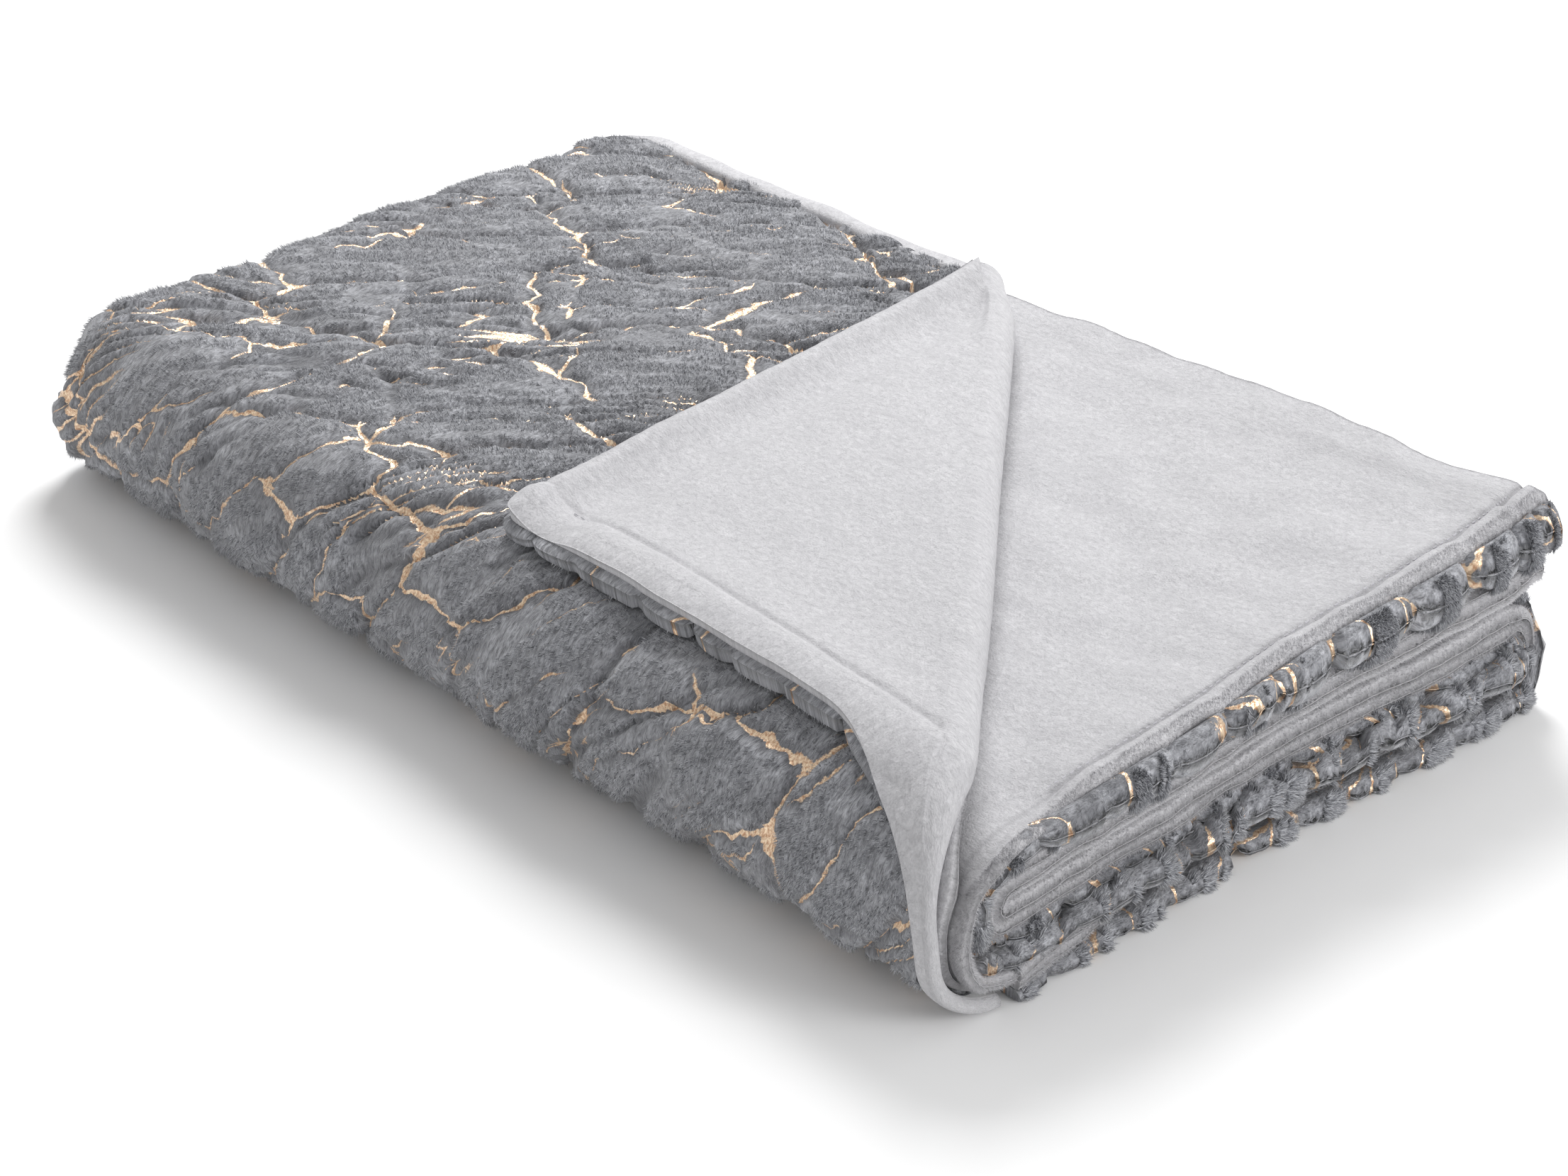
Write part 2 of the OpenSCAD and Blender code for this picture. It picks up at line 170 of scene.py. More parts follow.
def fur_pattern(x, t):
    """Relief in metres, how far inside a foiled vein each point is in millimetres, how deep in a groove,
    and for each kind of vein the signed distance to its middle and its half width, in millimetres."""
    a = SLANT[0] * x - SLANT[1] * t
    b = SLANT[1] * x + SLANT[0] * t
    drift_a = 0.030 * layered(a / 0.16, b / 0.14, 3, 2)
    drift_b = 0.020 * layered(a / 0.15, b / 0.10, 4, 2)
    jag_a = 0.0048 * noise(a / 0.017, b / 0.014, 5) + 0.0014 * noise(a / 0.005, b / 0.005, 15)
    jag_b = 0.0042 * noise(a / 0.015, b / 0.013, 6) + 0.0014 * noise(a / 0.005, b / 0.005, 16)
    wa, wb = a + drift_a + jag_a, b + drift_b + jag_b

    # veins run along the borders of two sizes of cell
    wide, wide_side = cracks(wa / WIDE_CELL[0], wb / WIDE_CELL[1], 21)
    fine, fine_side = cracks(wa / FINE_CELL[0], wb / FINE_CELL[1], 31)
    wide = wide * WIDE_SCALE
    fine = fine * FINE_SCALE

    # long creases, in bundles, that follow the slant
    bundle = smooth(0.0, 0.35, noise(a / 0.13 + 7, b / 0.075, 41))
    ca, cb = a + 0.6 * drift_a, b + 0.9 * drift_b + 0.45 * jag_b
    crease_side = noise(ca / 0.120, cb / 0.0125, 42) * 0.0125
    crease = np.abs(crease_side)
    crease_2 = np.abs(noise(ca / 0.16 + 3, cb / 0.030, 43)) * 0.030
    bundle_2 = smooth(0.0, 0.4, noise(a / 0.18, b / 0.12, 44))

    # grooves at the veins and creases, and soft swellings between them
    small_part = smooth(-0.26, 0.08, noise(a / 0.10, b / 0.06, 52))
    ragged = 1 + 0.4 * noise(a / 0.02, b / 0.02, 51)
    groove = np.exp(-((wide / (0.0034 * ragged)) ** 2))
    small_groove = np.exp(-((fine / (0.0026 * ragged)) ** 2)) * small_part
    fold = np.exp(-((crease / 0.0020) ** 2)) * bundle
    fold_2 = np.exp(-((crease_2 / 0.0034) ** 2)) * bundle_2

    relief = 0.0024 * (1 - np.exp(-wide / 0.010)) + 0.0010 * (1 - np.exp(-fine / 0.006)) * small_part
    relief = relief - 0.0034 * groove - 0.0024 * small_groove - 0.0044 * fold - 0.0042 * fold_2
    relief = relief + 0.0018 * (1 - np.exp(-((crease / 0.004) ** 2))) * bundle
    relief = relief + 0.0030 * layered(a / 0.09, b / 0.050, 61, 2)
    relief = relief + 0.00045 * layered(a / 0.014, b / 0.006, 62, 2)

    # foil: nearly all of the wide veins, part of the fine ones, and dashes in the creases
    swell = 1.00 + 0.80 * np.clip(noise(a / 0.030, b / 0.026, 71), -0.55, 1)
    here = smooth(-0.72, -0.58, noise(a / 0.10, b / 0.05, 72))
    small_here = smooth(-0.40, -0.26, noise(a / 0.09 + 9, b / 0.045, 73)) * small_part
    crease_here = smooth(-0.30, -0.14, noise(a / 0.06, b / 0.03, 74)) * bundle
    knot = smooth(0.0080, 0.0025, wide + 0.6 * fine) * smooth(0.05, 0.4, noise(a / 0.05, b / 0.05, 75))
    veins = []
    for gap, side, half in (
        (wide, wide_side, (swell + 1.2 * knot + 0.5) * here - 0.5),
        (fine, fine_side, (0.75 + 0.55 * swell) * small_here - 0.5),
        (crease, np.sign(crease_side), 1.12 * crease_here - 0.5),
    ):
        veins.append((gap * side / MM, np.where(gap < VEIN_REACH, half, NO_FOIL)))
    foil = np.maximum.reduce([half - np.abs(gap) for gap, half in veins])
    depth = np.maximum(groove, np.maximum(small_groove, np.maximum(fold, fold_2)))
    return relief, foil, depth, veins


def vein_values(veins):
    """The veins' signed distances and half widths, as named values for the material."""
    values = []
    for kind, (off, half) in zip(VEINS, veins):
        values += [(f"{kind}_off", off), (f"{kind}_half", half)]
    return values


def bare_skin(foil, depth):
    """Above -HAIR_CLEAR where no hair stands: on the foil and deep in the grooves."""
    return np.maximum(foil, 4 * depth - 3.4)


def notch_foil(cell, notch, seed, reach=1.0):
    """Foil in some of the hem's notches; cell numbers the lobes."""
    chosen = smooth(0.40, 0.62, hashed(cell, 0 * cell, seed))
    return np.where(notch > 0.05, 2.6 * chosen * notch * reach - 1.5, NO_FOIL)


LOBE = 0.046
FLAP_LOBE = 0.040
HAIR_CLEAR = 2.3


def lobes(t, seed, pitch=LOBE):
    """The scalloped edge of the fur at a hem: 1 on the lobes, and lower in the notches, some of them deep."""
    u = t / pitch + 0.3 * noise(t / 0.11, 0 * t, seed)
    k = np.floor(u)
    left = k + 0.4 * (hashed(k, 0 * k, seed) - 0.5)
    right = k + 1 + 0.4 * (hashed(k + 1, 0 * k, seed) - 0.5)
    f = np.clip((u - left) / (right - left), 0, 1)
    bulge = np.clip(1 - (2 * f - 1) ** 2, 0, 1) ** 0.42
    deep = 0.20 + 0.62 * np.where(f < 0.5, hashed(k, 0 * k, seed + 3), hashed(k + 1, 0 * k, seed + 3))
    return 1 - deep * (1 - bulge)


# ---- the strip's path ----

FLAT_TOP = BACK_EDGE - FRONT_Y
FRONT_ARC = math.pi * 3 * PITCH
FLAT_BOTTOM = BACK_Y - FRONT_Y
SMALL_ARC = math.pi * PITCH
FLAT_SECOND = SECOND_EDGE - FRONT_Y
T_FRONT = FLAT_TOP
T_BOTTOM = T_FRONT + FRONT_ARC
T_BACK = T_BOTTOM + FLAT_BOTTOM
T_THIRD = T_BACK + SMALL_ARC
T_CORE = T_THIRD + FLAT_BOTTOM
T_SECOND = T_CORE + SMALL_ARC
T_END = T_SECOND + FLAT_SECOND


def path(t):
    """Where the middle of the double cloth is at t, and which way its outer side faces, in Y and Z."""
    t = np.asarray(t, float)
    flats = (
        (0.0, T_FRONT, BACK_EDGE, -1, 7 * PITCH - GAP / 2, 1),
        (T_BOTTOM, T_BACK, FRONT_Y, 1, PITCH - GAP / 2, -1),
        (T_THIRD, T_CORE, BACK_Y, -1, 3 * PITCH - GAP / 2, 1),
        (T_SECOND, T_END + 1, FRONT_Y, 1, 5 * PITCH - GAP / 2, -1),
    )
    bends = (
        (T_FRONT, T_BOTTOM, FRONT_Y, CORE_Z, 3 * PITCH, 90, 270, 1),
        (T_BACK, T_THIRD, BACK_Y, 2 * PITCH - GAP / 2, PITCH, -90, 90, 1),
        (T_CORE, T_SECOND, FRONT_Y, CORE_Z, PITCH, 270, 90, -1),
    )
    y, z, ny, nz = (np.zeros(t.shape) for _ in range(4))
    for t0, t1, y0, way, height, up in flats:
        on = (t >= t0) & (t <= t1) if t0 else t <= t1
        y = np.where(on, y0 + way * (t - t0), y)
        z = np.where(on, height, z)
        ny, nz = np.where(on, 0.0, ny), np.where(on, up, nz)
    for t0, t1, yc, zc, radius, a0, a1, out in bends:
        on = (t > t0) & (t < t1)
        angle = np.radians(a0 + (a1 - a0) * (t - t0) / (t1 - t0))
        y = np.where(on, yc + radius * np.cos(angle), y)
        z = np.where(on, zc + radius * np.sin(angle), z)
        ny, nz = np.where(on, out * np.cos(angle), ny), np.where(on, out * np.sin(angle), nz)
    return y, z, ny, nz


def inset(t):
    """How far the hemmed end lies inside the top leaf's, along the strip."""
    knots = [0, T_FRONT, T_BOTTOM, T_BACK, T_THIRD, T_CORE, T_SECOND, T_END]
    names = ["top", "top", "bottom", "bottom", "third", "third", "second", "second"]
    return np.interp(t, knots, [INSET[n] for n in names])


# ---- the heap's own shape: the even fold above, eased into how the throw really lies ----

FLOOR_SKIN, FLOOR_EASE = 0.4 * MM, 3.2 * MM


def settle(p):
    """Moves points of the even fold to where the soft heap has them."""
    x, y, z = p[..., 0], p[..., 1], p[..., 2]
    u, v = x / HEM_X, y / BACK_EDGE
    above = np.clip(z / STACK_TOP, 0, 1.3)

    # the loose hemmed end stands taller than the rest, most of all at its back corner
    fan = smooth(0.30, 1.0, 0.5 * (u + v))
    loose = smooth(0.80, 1.0, u) * smooth(-1.0, -0.3, v)
    tall = 0.986 + 0.001 * u + 0.021 * v + 0.016 * u * v + 0.19 * fan + 0.075 * loose
    tall = tall + 0.010 * layered(x / 0.22, y / 0.22, 81, 2)

    # its middle leaves spread out at the back, and the top ones are drawn in
    end = smooth(0.78, 1.0, u)
    spread_out = 0.004 + 0.019 * smooth(-0.1, 0.85, v) * np.sin(math.pi * np.clip(0.25 + 0.6 * above, 0, 1))
    new_x = x + end * spread_out + 0.004 * above * noise(y / 0.16, 0 * y + 4.2, 82) * np.abs(u)
    at_back = smooth(0.70, 1.0, v)
    drawn = 0.016 * above + 0.014 * smooth(0.5, 1.0, u)
    sway = 0.0045 * noise(x / 0.14, z / 0.06, 83) + 0.003 * noise(x / 0.05, z / 0.04, 84)
    new_y = y - at_back * drawn + sway * smooth(0.55, 1.0, np.abs(v))

    # soft corners at the folded end
    corner = smooth(0.86, 1.0, -u) * smooth(0.80, 1.0, np.abs(v))
    new_x = new_x + 0.016 * corner * above
    new_y = new_y - 0.014 * corner * np.sign(v) * above
    bulge = smooth(0.72, 1.0, -u) * smooth(0.35, -0.85, v) * (1 - 0.8 * smooth(0.35, 1.0, above))
    new_x = new_x - 0.021 * bulge

    # what would sink into the floor is pressed flat on it
    new_z = z * tall
    pressed = FLOOR_SKIN + FLOOR_EASE * np.exp(np.minimum(new_z - FLOOR_SKIN - FLOOR_EASE, 0) / FLOOR_EASE)
    return np.stack([new_x, new_y, np.maximum(new_z, pressed)], -1)


# ---- meshes ----


def slab(name, outer, inner, uv, values=()):
    """A closed sheet from two grids of points with the same rows and columns."""
    rows, cols = outer.shape[:2]
    count = rows * cols
    points = np.concatenate([outer.reshape(-1, 3), inner.reshape(-1, 3)])
    index = np.arange(count).reshape(rows, cols)
    quad = np.stack([index[:-1, :-1], index[1:, :-1], index[1:, 1:], index[:-1, 1:]], -1).reshape(-1, 4)
    faces = [quad, quad[:, ::-1] + count]
    rim = np.concatenate([index[0, :-1], index[:-1, -1], index[-1, :0:-1], index[:0:-1, 0]])
    after = np.roll(rim, -1)
    faces.append(np.stack([after, rim, rim + count, after + count], -1))
    quads = np.concatenate(faces)
    a, b, c, d = (points[quads[:, k]] for k in range(4))
    volume = np.einsum("ij,ij->i", a, np.cross(b, c) + np.cross(c, d)).sum()
    if volume < 0:
        quads = quads[:, ::-1]
    both = [np.concatenate([v.reshape(-1), v.reshape(-1)]) for _, v in values]
    uvs = np.concatenate([uv.reshape(-1, 2), uv.reshape(-1, 2)])
    return mesh_piece(name, points, quads, uvs, [(n, v) for (n, _), v in zip(values, both)])


def mesh_piece(name, points, faces, uvs, values=()):
    """An object from points and faces of one size, with its cloth coordinates and other values."""
    size = faces.shape[1]
    mesh = bpy.data.meshes.new(name)
    mesh.vertices.add(len(points))
    mesh.vertices.foreach_set("co", points.astype(np.float32).ravel())
    mesh.loops.add(faces.size)
    mesh.loops.foreach_set("vertex_index", faces.astype(np.int32).ravel())
    mesh.polygons.add(len(faces))
    mesh.polygons.foreach_set("loop_start", np.arange(0, faces.size, size, dtype=np.int32))
    mesh.polygons.foreach_set("use_smooth", np.ones(len(faces), bool))
    mesh.update(calc_edges=True)
    layer = mesh.uv_layers.new(name="Cloth")
    layer.data.foreach_set("uv", uvs[faces.ravel()].astype(np.float32).ravel())
    for label, value in values:
        attribute = mesh.attributes.new(label, "FLOAT", "POINT")
        attribute.data.foreach_set("value", value.astype(np.float32))
    mesh.validate()
    piece = bpy.data.objects.new(name, mesh)
    bpy.context.collection.objects.link(piece)
    return piece


def steps(length, first, later, easing=0.03):
    """Places from 0 to length, first apart at the start and later apart from easing on."""
    places = [0.0]
    while places[-1] < length:
        into = min(1.0, places[-1] / easing)
        places.append(places[-1] + first + (later - first) * into * into)
    places = np.array(places)
    return places * length / places[-1]


def spread(spans):
    """Places along the path: (from, to, spacing) for each stretch."""
    parts = []
    for low, high, gap in spans:
        parts.append(np.linspace(low, high, max(2, round((high - low) / gap) + 1))[:-1])
    return np.append(np.concatenate(parts), spans[-1][1])


FLAT = HEM_X - END_X
TURN = math.pi * 0.0105   # how far the outer cloth goes on round the half fold
INNER_CLOTH = 2.3         # keeps the inner cloth's pattern clear of the outer cloth's


def place(side, s, t, h, reach=0.0):
    """A point s in from the hemmed end, t along the path and h out from its middle."""
    y, z, ny, nz = path(t)
    into = np.clip((s - FLAT) / TURN, 0, 1) * math.pi
    off = side * h * np.cos(into)
    hem_in = inset(t) * smooth(0.25, 0.0, s)
    x = np.where(s < FLAT, HEM_X - hem_in - s + reach, END_X - h * np.sin(into))
    return settle(np.stack(np.broadcast_arrays(x, y + ny * off, z + nz * off), -1))


def cloth_uv(side, s, t):
    """The place on the panel, which the pattern and the materials use."""
    return np.stack(np.broadcast_arrays(HEM_X - s, t + (0 if side > 0 else INNER_CLOTH)), -1)


def nose(s, radius):
    """How full a ply is at s from its rounded edge, from 0 to 1."""
    return 0.06 + 0.94 * np.sqrt(np.clip(1 - (1 - np.clip(s / radius, 0, 1)) ** 2, 0, 1))


def ply_grid(side, spans, near, far, start=None):
    """The s and t of every point of a ply, and how far each is from the ply's own edge."""
    t = spread(spans)
    length = FLAT + (TURN if side > 0 else 0)
    s, tt = np.meshgrid(steps(length, near, far), t, indexing="ij")
    begin = start(tt) if start else 0 * tt
    s = begin + s * (length - begin) / length
    return s, tt, s - begin, smooth(0.02, 0.0, begin)


def hem_shape(side, t):
    """How the hemmed end lies along the strip: how full its fur is, how far its fleece reaches and how much
    the fleece crowds the fur out."""
    y, _, _, _ = path(t)
    bottom = ((t > T_BOTTOM) & (t < T_BACK + 0.5 * SMALL_ARC)) * smooth(-0.20, -0.06, y)
    swell = 0.0040 * bottom
    out = 0.0030 - 0.0110 * bottom
    if side > 0:
        crowd = 0.0050 * smooth(T_BACK + 0.4 * SMALL_ARC, T_THIRD + 0.03, t)
    else:
        crowd = 0 * t
        swell = swell + 0.0080 * smooth(T_FRONT + 0.02, T_FRONT - 0.05, t)
        swell = swell + 0.0026 * smooth(T_BACK, T_THIRD, t) * smooth(T_SECOND, T_CORE, t)
        out = out - 0.0055 * smooth(T_FRONT + 0.02, T_FRONT - 0.05, t)
    return swell, out, crowd


GRIDS = {}               # each ply's outer and inner points, where it is bare, and how far from its edge
CREASE_FILL = 0.0127     # how far the fur under the turned corner's bend reaches into it
CREASE_THIN = 0.0040     # how much thinner the fleece is at the bend's outermost line


def fur_ply(name, side, spans, near, far, start=None, seed=0, edge=0.0, lobed=True):
    """One length of faux fur. edge is how far from the path's start its free back edge lies."""
    s, t, from_edge, hemmed = ply_grid(side, spans, near, far, start)
    hemmed = hemmed * lobed
    bumps, foil, depth, veins = fur_pattern(HEM_X - s, t + (0 if side > 0 else INNER_CLOTH))
    lobe = lobes(t + 0.013 * seed, 90 + seed)
    at_hem = smooth(0.040, 0.004, from_edge) * hemmed
    notch = (1 - lobe) * at_hem
    swell, _, crowd = hem_shape(side, t)
    at_rim = smooth(0.016, 0.005, from_edge) * hemmed
    outer = FUR_H[1] - 0.0022 + bumps + at_hem * (0.0036 * (lobe - 0.4) + swell * (0.35 + 0.65 * lobe))
    inner = FUR_H[0] + 0.0012 * at_hem - at_rim * swell * (0.2 + 0.9 * lobe) + at_hem * crowd
    cell = np.round((t + 0.013 * seed) / LOBE)
    rim_foil = notch_foil(cell, notch, 97 + seed, smooth(0.034, 0.012, from_edge))
    foil = np.maximum(foil, rim_foil)
    # the hem's notches count as grooves: the material paints shade into them, and no hair stands there
    depth = np.maximum(depth, smooth(0.35, 1.0, notch))
    full = nose(from_edge, 0.009)
    if edge:
        full = np.minimum(full, nose(np.abs(t - edge), 0.006))
    middle = 0.5 * (outer + inner)
    half = 0.5 * (outer - inner) * full
    if not lobed:
        # at the crease the fur's underside curves up into the bend, and its tips keep their height
        half = 0.5 * (outer - inner) * nose(from_edge, CREASE_FILL)
        middle = outer - half
    reach = (-0.003 + (0.007 + 0.6 * swell) * lobe - 2.4 * crowd) * smooth(0.035, 0.0, from_edge) * hemmed
    points = [place(side, s, t, middle + way * half, reach) for way in (1, -1)]
    GRIDS[name] = (*points, bare_skin(foil, depth), from_edge)
    values = [("rim_foil", rim_foil), ("depth", depth), *vein_values(veins)]
    return slab(name, *points, cloth_uv(side, s, t), values)


def fleece_ply(name, side, spans, near, far, start=None, seed=0, shape=None):
    """One length of fleece; shape(s, t) raises its free face."""
    s, t, from_edge, hemmed = ply_grid(side, spans, near, far, start)
    x = HEM_X - s
    nap = 0.00020 * noise(x / 0.005, t / 0.005, 64) + 0.0003 * noise(x / 0.013, t / 0.013, 65)
    wave = 0.0012 * layered(x / 0.07, t / 0.07, 63 + seed, 2)
    # the sunken seam, which the fleece material darkens with painted shade
    seam = np.exp(-(((from_edge - HEM_W) / 0.0018) ** 2)) * hemmed
    roll = 0.0018 * smooth(0.020, 0.010, from_edge) * hemmed
    pucker = 0.0009 * noise(t / 0.014, s / 0.03, 66 + seed) * smooth(0.034, 0.012, from_edge) * hemmed
    pucker = pucker + 0.0016 * noise(t / 0.045, s / 0.05, 68 + seed) * smooth(0.03, 0.006, from_edge) * hemmed
    _, out, crowd = hem_shape(side, t)
    outer = FLEECE_H[1] + (0.0010 + crowd) * smooth(0.03, 0.006, from_edge) * hemmed
    inner = FLEECE_H[0] - (nap + wave + roll + pucker) + 0.0026 * seam
    if shape:
        inner = inner - shape(s, t)
    full = nose(from_edge, 0.004)
    middle = 0.5 * (outer + inner)
    half = 0.5 * (outer - inner) * full
    reach = (out + 0.0030 * layered(t / 0.05, 0 * t, 67 + seed)) * smooth(0.03, 0.0, from_edge) * hemmed
    points = [place(side, s, t, middle + way * half, reach) for way in (1, -1)]
    GRIDS[name] = (*points, 5 * seam - 3, from_edge)
    return slab(name, *points, cloth_uv(side, s, t), [("seam", seam)])


# ---- the turned corner ----

END_R = PITCH - GAP / 2
FUR_SHARE = 0.895        # the flap's fur ends where its bend turns down over the front fold
BEND_STEPS = 14
SEAM_IN = 0.027          # the flap's sunken seam, in from its low hem


def crease_line():
    """The crease's bend centre line from the frame's joint: a point, its direction, and the way across."""
    joint = [j for j in frame["joints"] if j["name"] == "corner_turn"][0]
    way = -np.array(joint["axis"][:2])
    way = way / np.linalg.norm(way)
    across = np.array([-way[1], way[0]])
    return np.array(joint["pos_m"][:2]), way, across


CREASE_AT, ALONG, ACROSS = crease_line()
BEND_AT = CREASE_AT - END_R * ACROSS
FLAP_TIP = np.array([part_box("corner_back_hem")[1][0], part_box("corner_end_hem")[0][1] + 0.013])
TIP_T = BACK_EDGE - FLAP_TIP[1]
BEND_T = BACK_EDGE - BEND_AT[1]
LOW_HEM = ([FLAP_TIP[0], HEM_X - 0.05], [TIP_T, T_FRONT + 0.019])


def crease_start(t, at_floor=0.009):
    """Where the top cloth gives way to the crease's bend, in from the hemmed end."""
    y = BACK_EDGE - np.minimum(t, T_FRONT)
    x = BEND_AT[0] + ALONG[0] * (y - BEND_AT[1]) / ALONG[1]
    s = HEM_X - x - CREASE_FILL + 0.0003
    down = smooth(T_FRONT - 0.01, T_FRONT + 0.05, t)
    return s + (at_floor - s) * down


def fur_start(t):
    """The fur stops short of the bend where the bend slims down towards the floor."""
    return crease_start(t, 0.018)


def lerp(knots, p):
    """Points along given knots (p, a, b), at each p."""
    knots = np.array(knots)
    return np.stack([np.interp(p, knots[:, 0], knots[:, k]) for k in (1, 2)], -1)


def soften(line, reach):
    """The same polyline with its corners rounded over reach points either way."""
    padded = np.pad(line, ((reach, reach), (0, 0)), mode="edge")
    kernel = np.hanning(2 * reach + 1)
    kernel = kernel / kernel.sum()
    soft = np.stack([np.convolve(padded[:, k], kernel, mode="valid") for k in (0, 1)], -1)
    blend = np.minimum(1, np.minimum(np.arange(len(line)), np.arange(len(line))[::-1]) / reach)[:, None]
    return line + (soft - line) * blend


def flap_lines(count):
    """The crease's bend line and the hem line of the turned corner, as x and t, row by row."""
    p = np.linspace(0, 1, count)
    front_x = BEND_AT[0] + ALONG[0] * (T_FRONT - BEND_T) / -ALONG[1]
    root_x = BEND_AT[0] + 0.009
    crease = [
        (0.0, root_x, BEND_T + 0.010), (0.86, front_x, T_FRONT), (0.90, front_x + 0.020, T_FRONT + 0.026),
        (0.93, HEM_X - 0.009, T_FRONT + 0.052), (1.0, HEM_X - 0.005, T_BOTTOM - 0.008),
    ]
    hem = [
        (0.0, root_x - 0.004, BEND_T + 0.012), (0.51, FLAP_TIP[0], TIP_T),
        (0.82, front_x - 0.062, T_FRONT + 0.008), (0.86, front_x - 0.026, T_FRONT + 0.016),
        (0.90, front_x + 0.008, T_FRONT + 0.034),
        (0.93, HEM_X - 0.018, T_FRONT + 0.060), (1.0, HEM_X - 0.010, T_BOTTOM - 0.008),
    ]
    reach = count // 16
    return soften(lerp(crease, p), reach), soften(lerp(hem, p), reach // 2)


def flap_grid(turn, rows, columns, kind):
    """Points of the turned corner, from the crease's bend to its hem, turn being the half circles of the
    bend that it makes: x, t, angle round the bend, way out of it, and distances from the edges."""
    shown = rows if kind == "fleece" else round(FUR_SHARE * rows)
    crease, hem = (line[:shown] for line in flap_lines(rows))
    ahead = np.gradient(crease, axis=0)
    ahead = ahead / np.linalg.norm(ahead, axis=1)[:, None]
    out = np.stack([ahead[:, 1], -ahead[:, 0]], -1)
    bend = np.linspace(math.pi * (1 - turn), math.pi, BEND_STEPS)[:-1]
    angle = np.concatenate([bend, np.full(columns, math.pi)])
    ease = 1 - (1 - np.linspace(0, 1, columns)) ** 1.15
    along_flap = np.concatenate([np.zeros(BEND_STEPS - 1), ease])
    angle, _ = np.broadcast_arrays(angle[None, :], crease[:, :1])
    flat = along_flap[None, :, None]
    base = crease[:, None, :] * (1 - flat) + hem[:, None, :] * flat
    x, t = base[..., 0], base[..., 1]
    to_hem = np.linalg.norm(hem - crease, axis=1)[:, None] * (1 - along_flap[None, :])
    to_side = np.abs(x - np.interp(t, [BEND_T, TIP_T], [BEND_AT[0] + 0.005, FLAP_TIP[0]]))
    to_low = np.clip(np.interp(x, *LOW_HEM) - t, 0, None)
    low_or_tail = np.where(x < HEM_X - 0.045, to_low, to_hem)
    edge = np.minimum(np.where(t < TIP_T + 0.02, to_side, 1), low_or_tail)
    return x, t, angle, out, edge, to_side, to_low, along_flap


def ridge(distance, at, width):
    """A soft ridge of height 1 at one distance from an edge."""
    return np.exp(-(((distance - at) / width) ** 2))


def flap_ply(name, low, high, turn, rows, columns, kind):
    """One ply of the turned corner; low and high are its distances from the bend's middle."""
    x, t, angle, out, edge, to_side, to_low, v = flap_grid(turn, rows, columns, kind)
    flat = (v > 0)[None, :]
    full = np.where(flat, nose(edge, 0.007), 1.0)
    apex = CREASE_THIN * np.sin(angle) ** 2
    low = low + (apex if kind == "fleece" else 0)
    high = high + (apex if kind == "fur" else 0)
    middle = 0.5 * (low + high) + 0 * x
    half = 0.5 * (high - low) * full

    # where it runs down over the front fold it slims to a narrow rim
    tail = smooth(T_FRONT - 0.012, T_FRONT + 0.058, t)
    shrink = 1 - 0.70 * tail
    centre = (END_R + GAP / 2) * (1 - tail) + 0.0122 * tail

    # nap, waves, a puffed rim with a valley inside it, and the sunken seam along the low hem
    round_x = x + END_R * (angle - math.pi)
    nap = 0.0002 * noise(round_x / 0.005, t / 0.005, 164) + 0.0003 * noise(round_x / 0.013, t / 0.013, 165)
    wave = 0.0020 * layered(round_x / 0.09, t / 0.09, 163, 2)
    rim = 0.0080 * ridge(to_side, 0.012, 0.010) - 0.0044 * ridge(to_side, 0.040, 0.015)
    low_rim = 0.0016 * ridge(to_low, 0.012, 0.009) - 0.0018 * ridge(to_low, SEAM_IN, 0.0024)
    inside = smooth(0.02, 0.10, v)[None, :]
    bumps = (nap + wave * inside + (rim + low_rim) * inside) * (1 - tail)
    from_tip = np.clip((x - FLAP_TIP[0]) / 0.36, 0, 1)
    raise_low = 0.0075 * smooth(0.07, 0.0, to_low) * np.sin(math.pi * np.clip(from_tip * 0.9 + 0.08, 0, 1))
    raise_low = np.where(flat, raise_low, 0) * (1 - tail)
    lobe = lobes(x, 190, FLAP_LOBE)
    reach = 0.0
    if kind == "fur":
        at_low = smooth(0.03, 0.0, to_low) * (1 - tail) * flat
        reach = at_low * (-0.002 + 0.007 * lobe)
        middle = middle - 0.0022 * at_low * lobe
        half = half + 0.0022 * at_low * lobe * full
        bumps = 0 * bumps
    faces = []
    for way in (1, -1):
        r = (middle + way * half + (bumps if way > 0 else 0)) * shrink
        px = x + out[:, None, 0] * r * np.sin(angle)
        pt = t + out[:, None, 1] * r * np.sin(angle) + reach
        h = centre - r * np.cos(angle) + raise_low
        faces.append(place(1, HEM_X - px, pt, h))
    uv = cloth_uv(1, HEM_X - round_x + 5.1, t)
    if kind == "fur":
        _, foil, depth, veins = fur_pattern(x + 4.0, t)
        notch = (1 - lobe) * at_low
        rim_foil = notch_foil(np.round(x / FLAP_LOBE), notch, 197)
        foil = np.maximum(foil, rim_foil)
        # the material paints shade into the notches between the low hem's lobes
        values = [("rim_foil", rim_foil), ("depth", np.maximum(depth, notch)), *vein_values(veins)]
        GRIDS[name] = (faces[1], faces[0], bare_skin(foil, depth), edge)
        return slab(name, faces[0], faces[1], uv, values)
    # painted shade along the flap's sunken seam by its low hem
    seam = np.where(flat, ridge(to_low, SEAM_IN, 0.0018), 0) * (1 - tail) * 0.6
    return slab(name, faces[0], faces[1], uv, [("seam", seam)])


# ---- hems ----


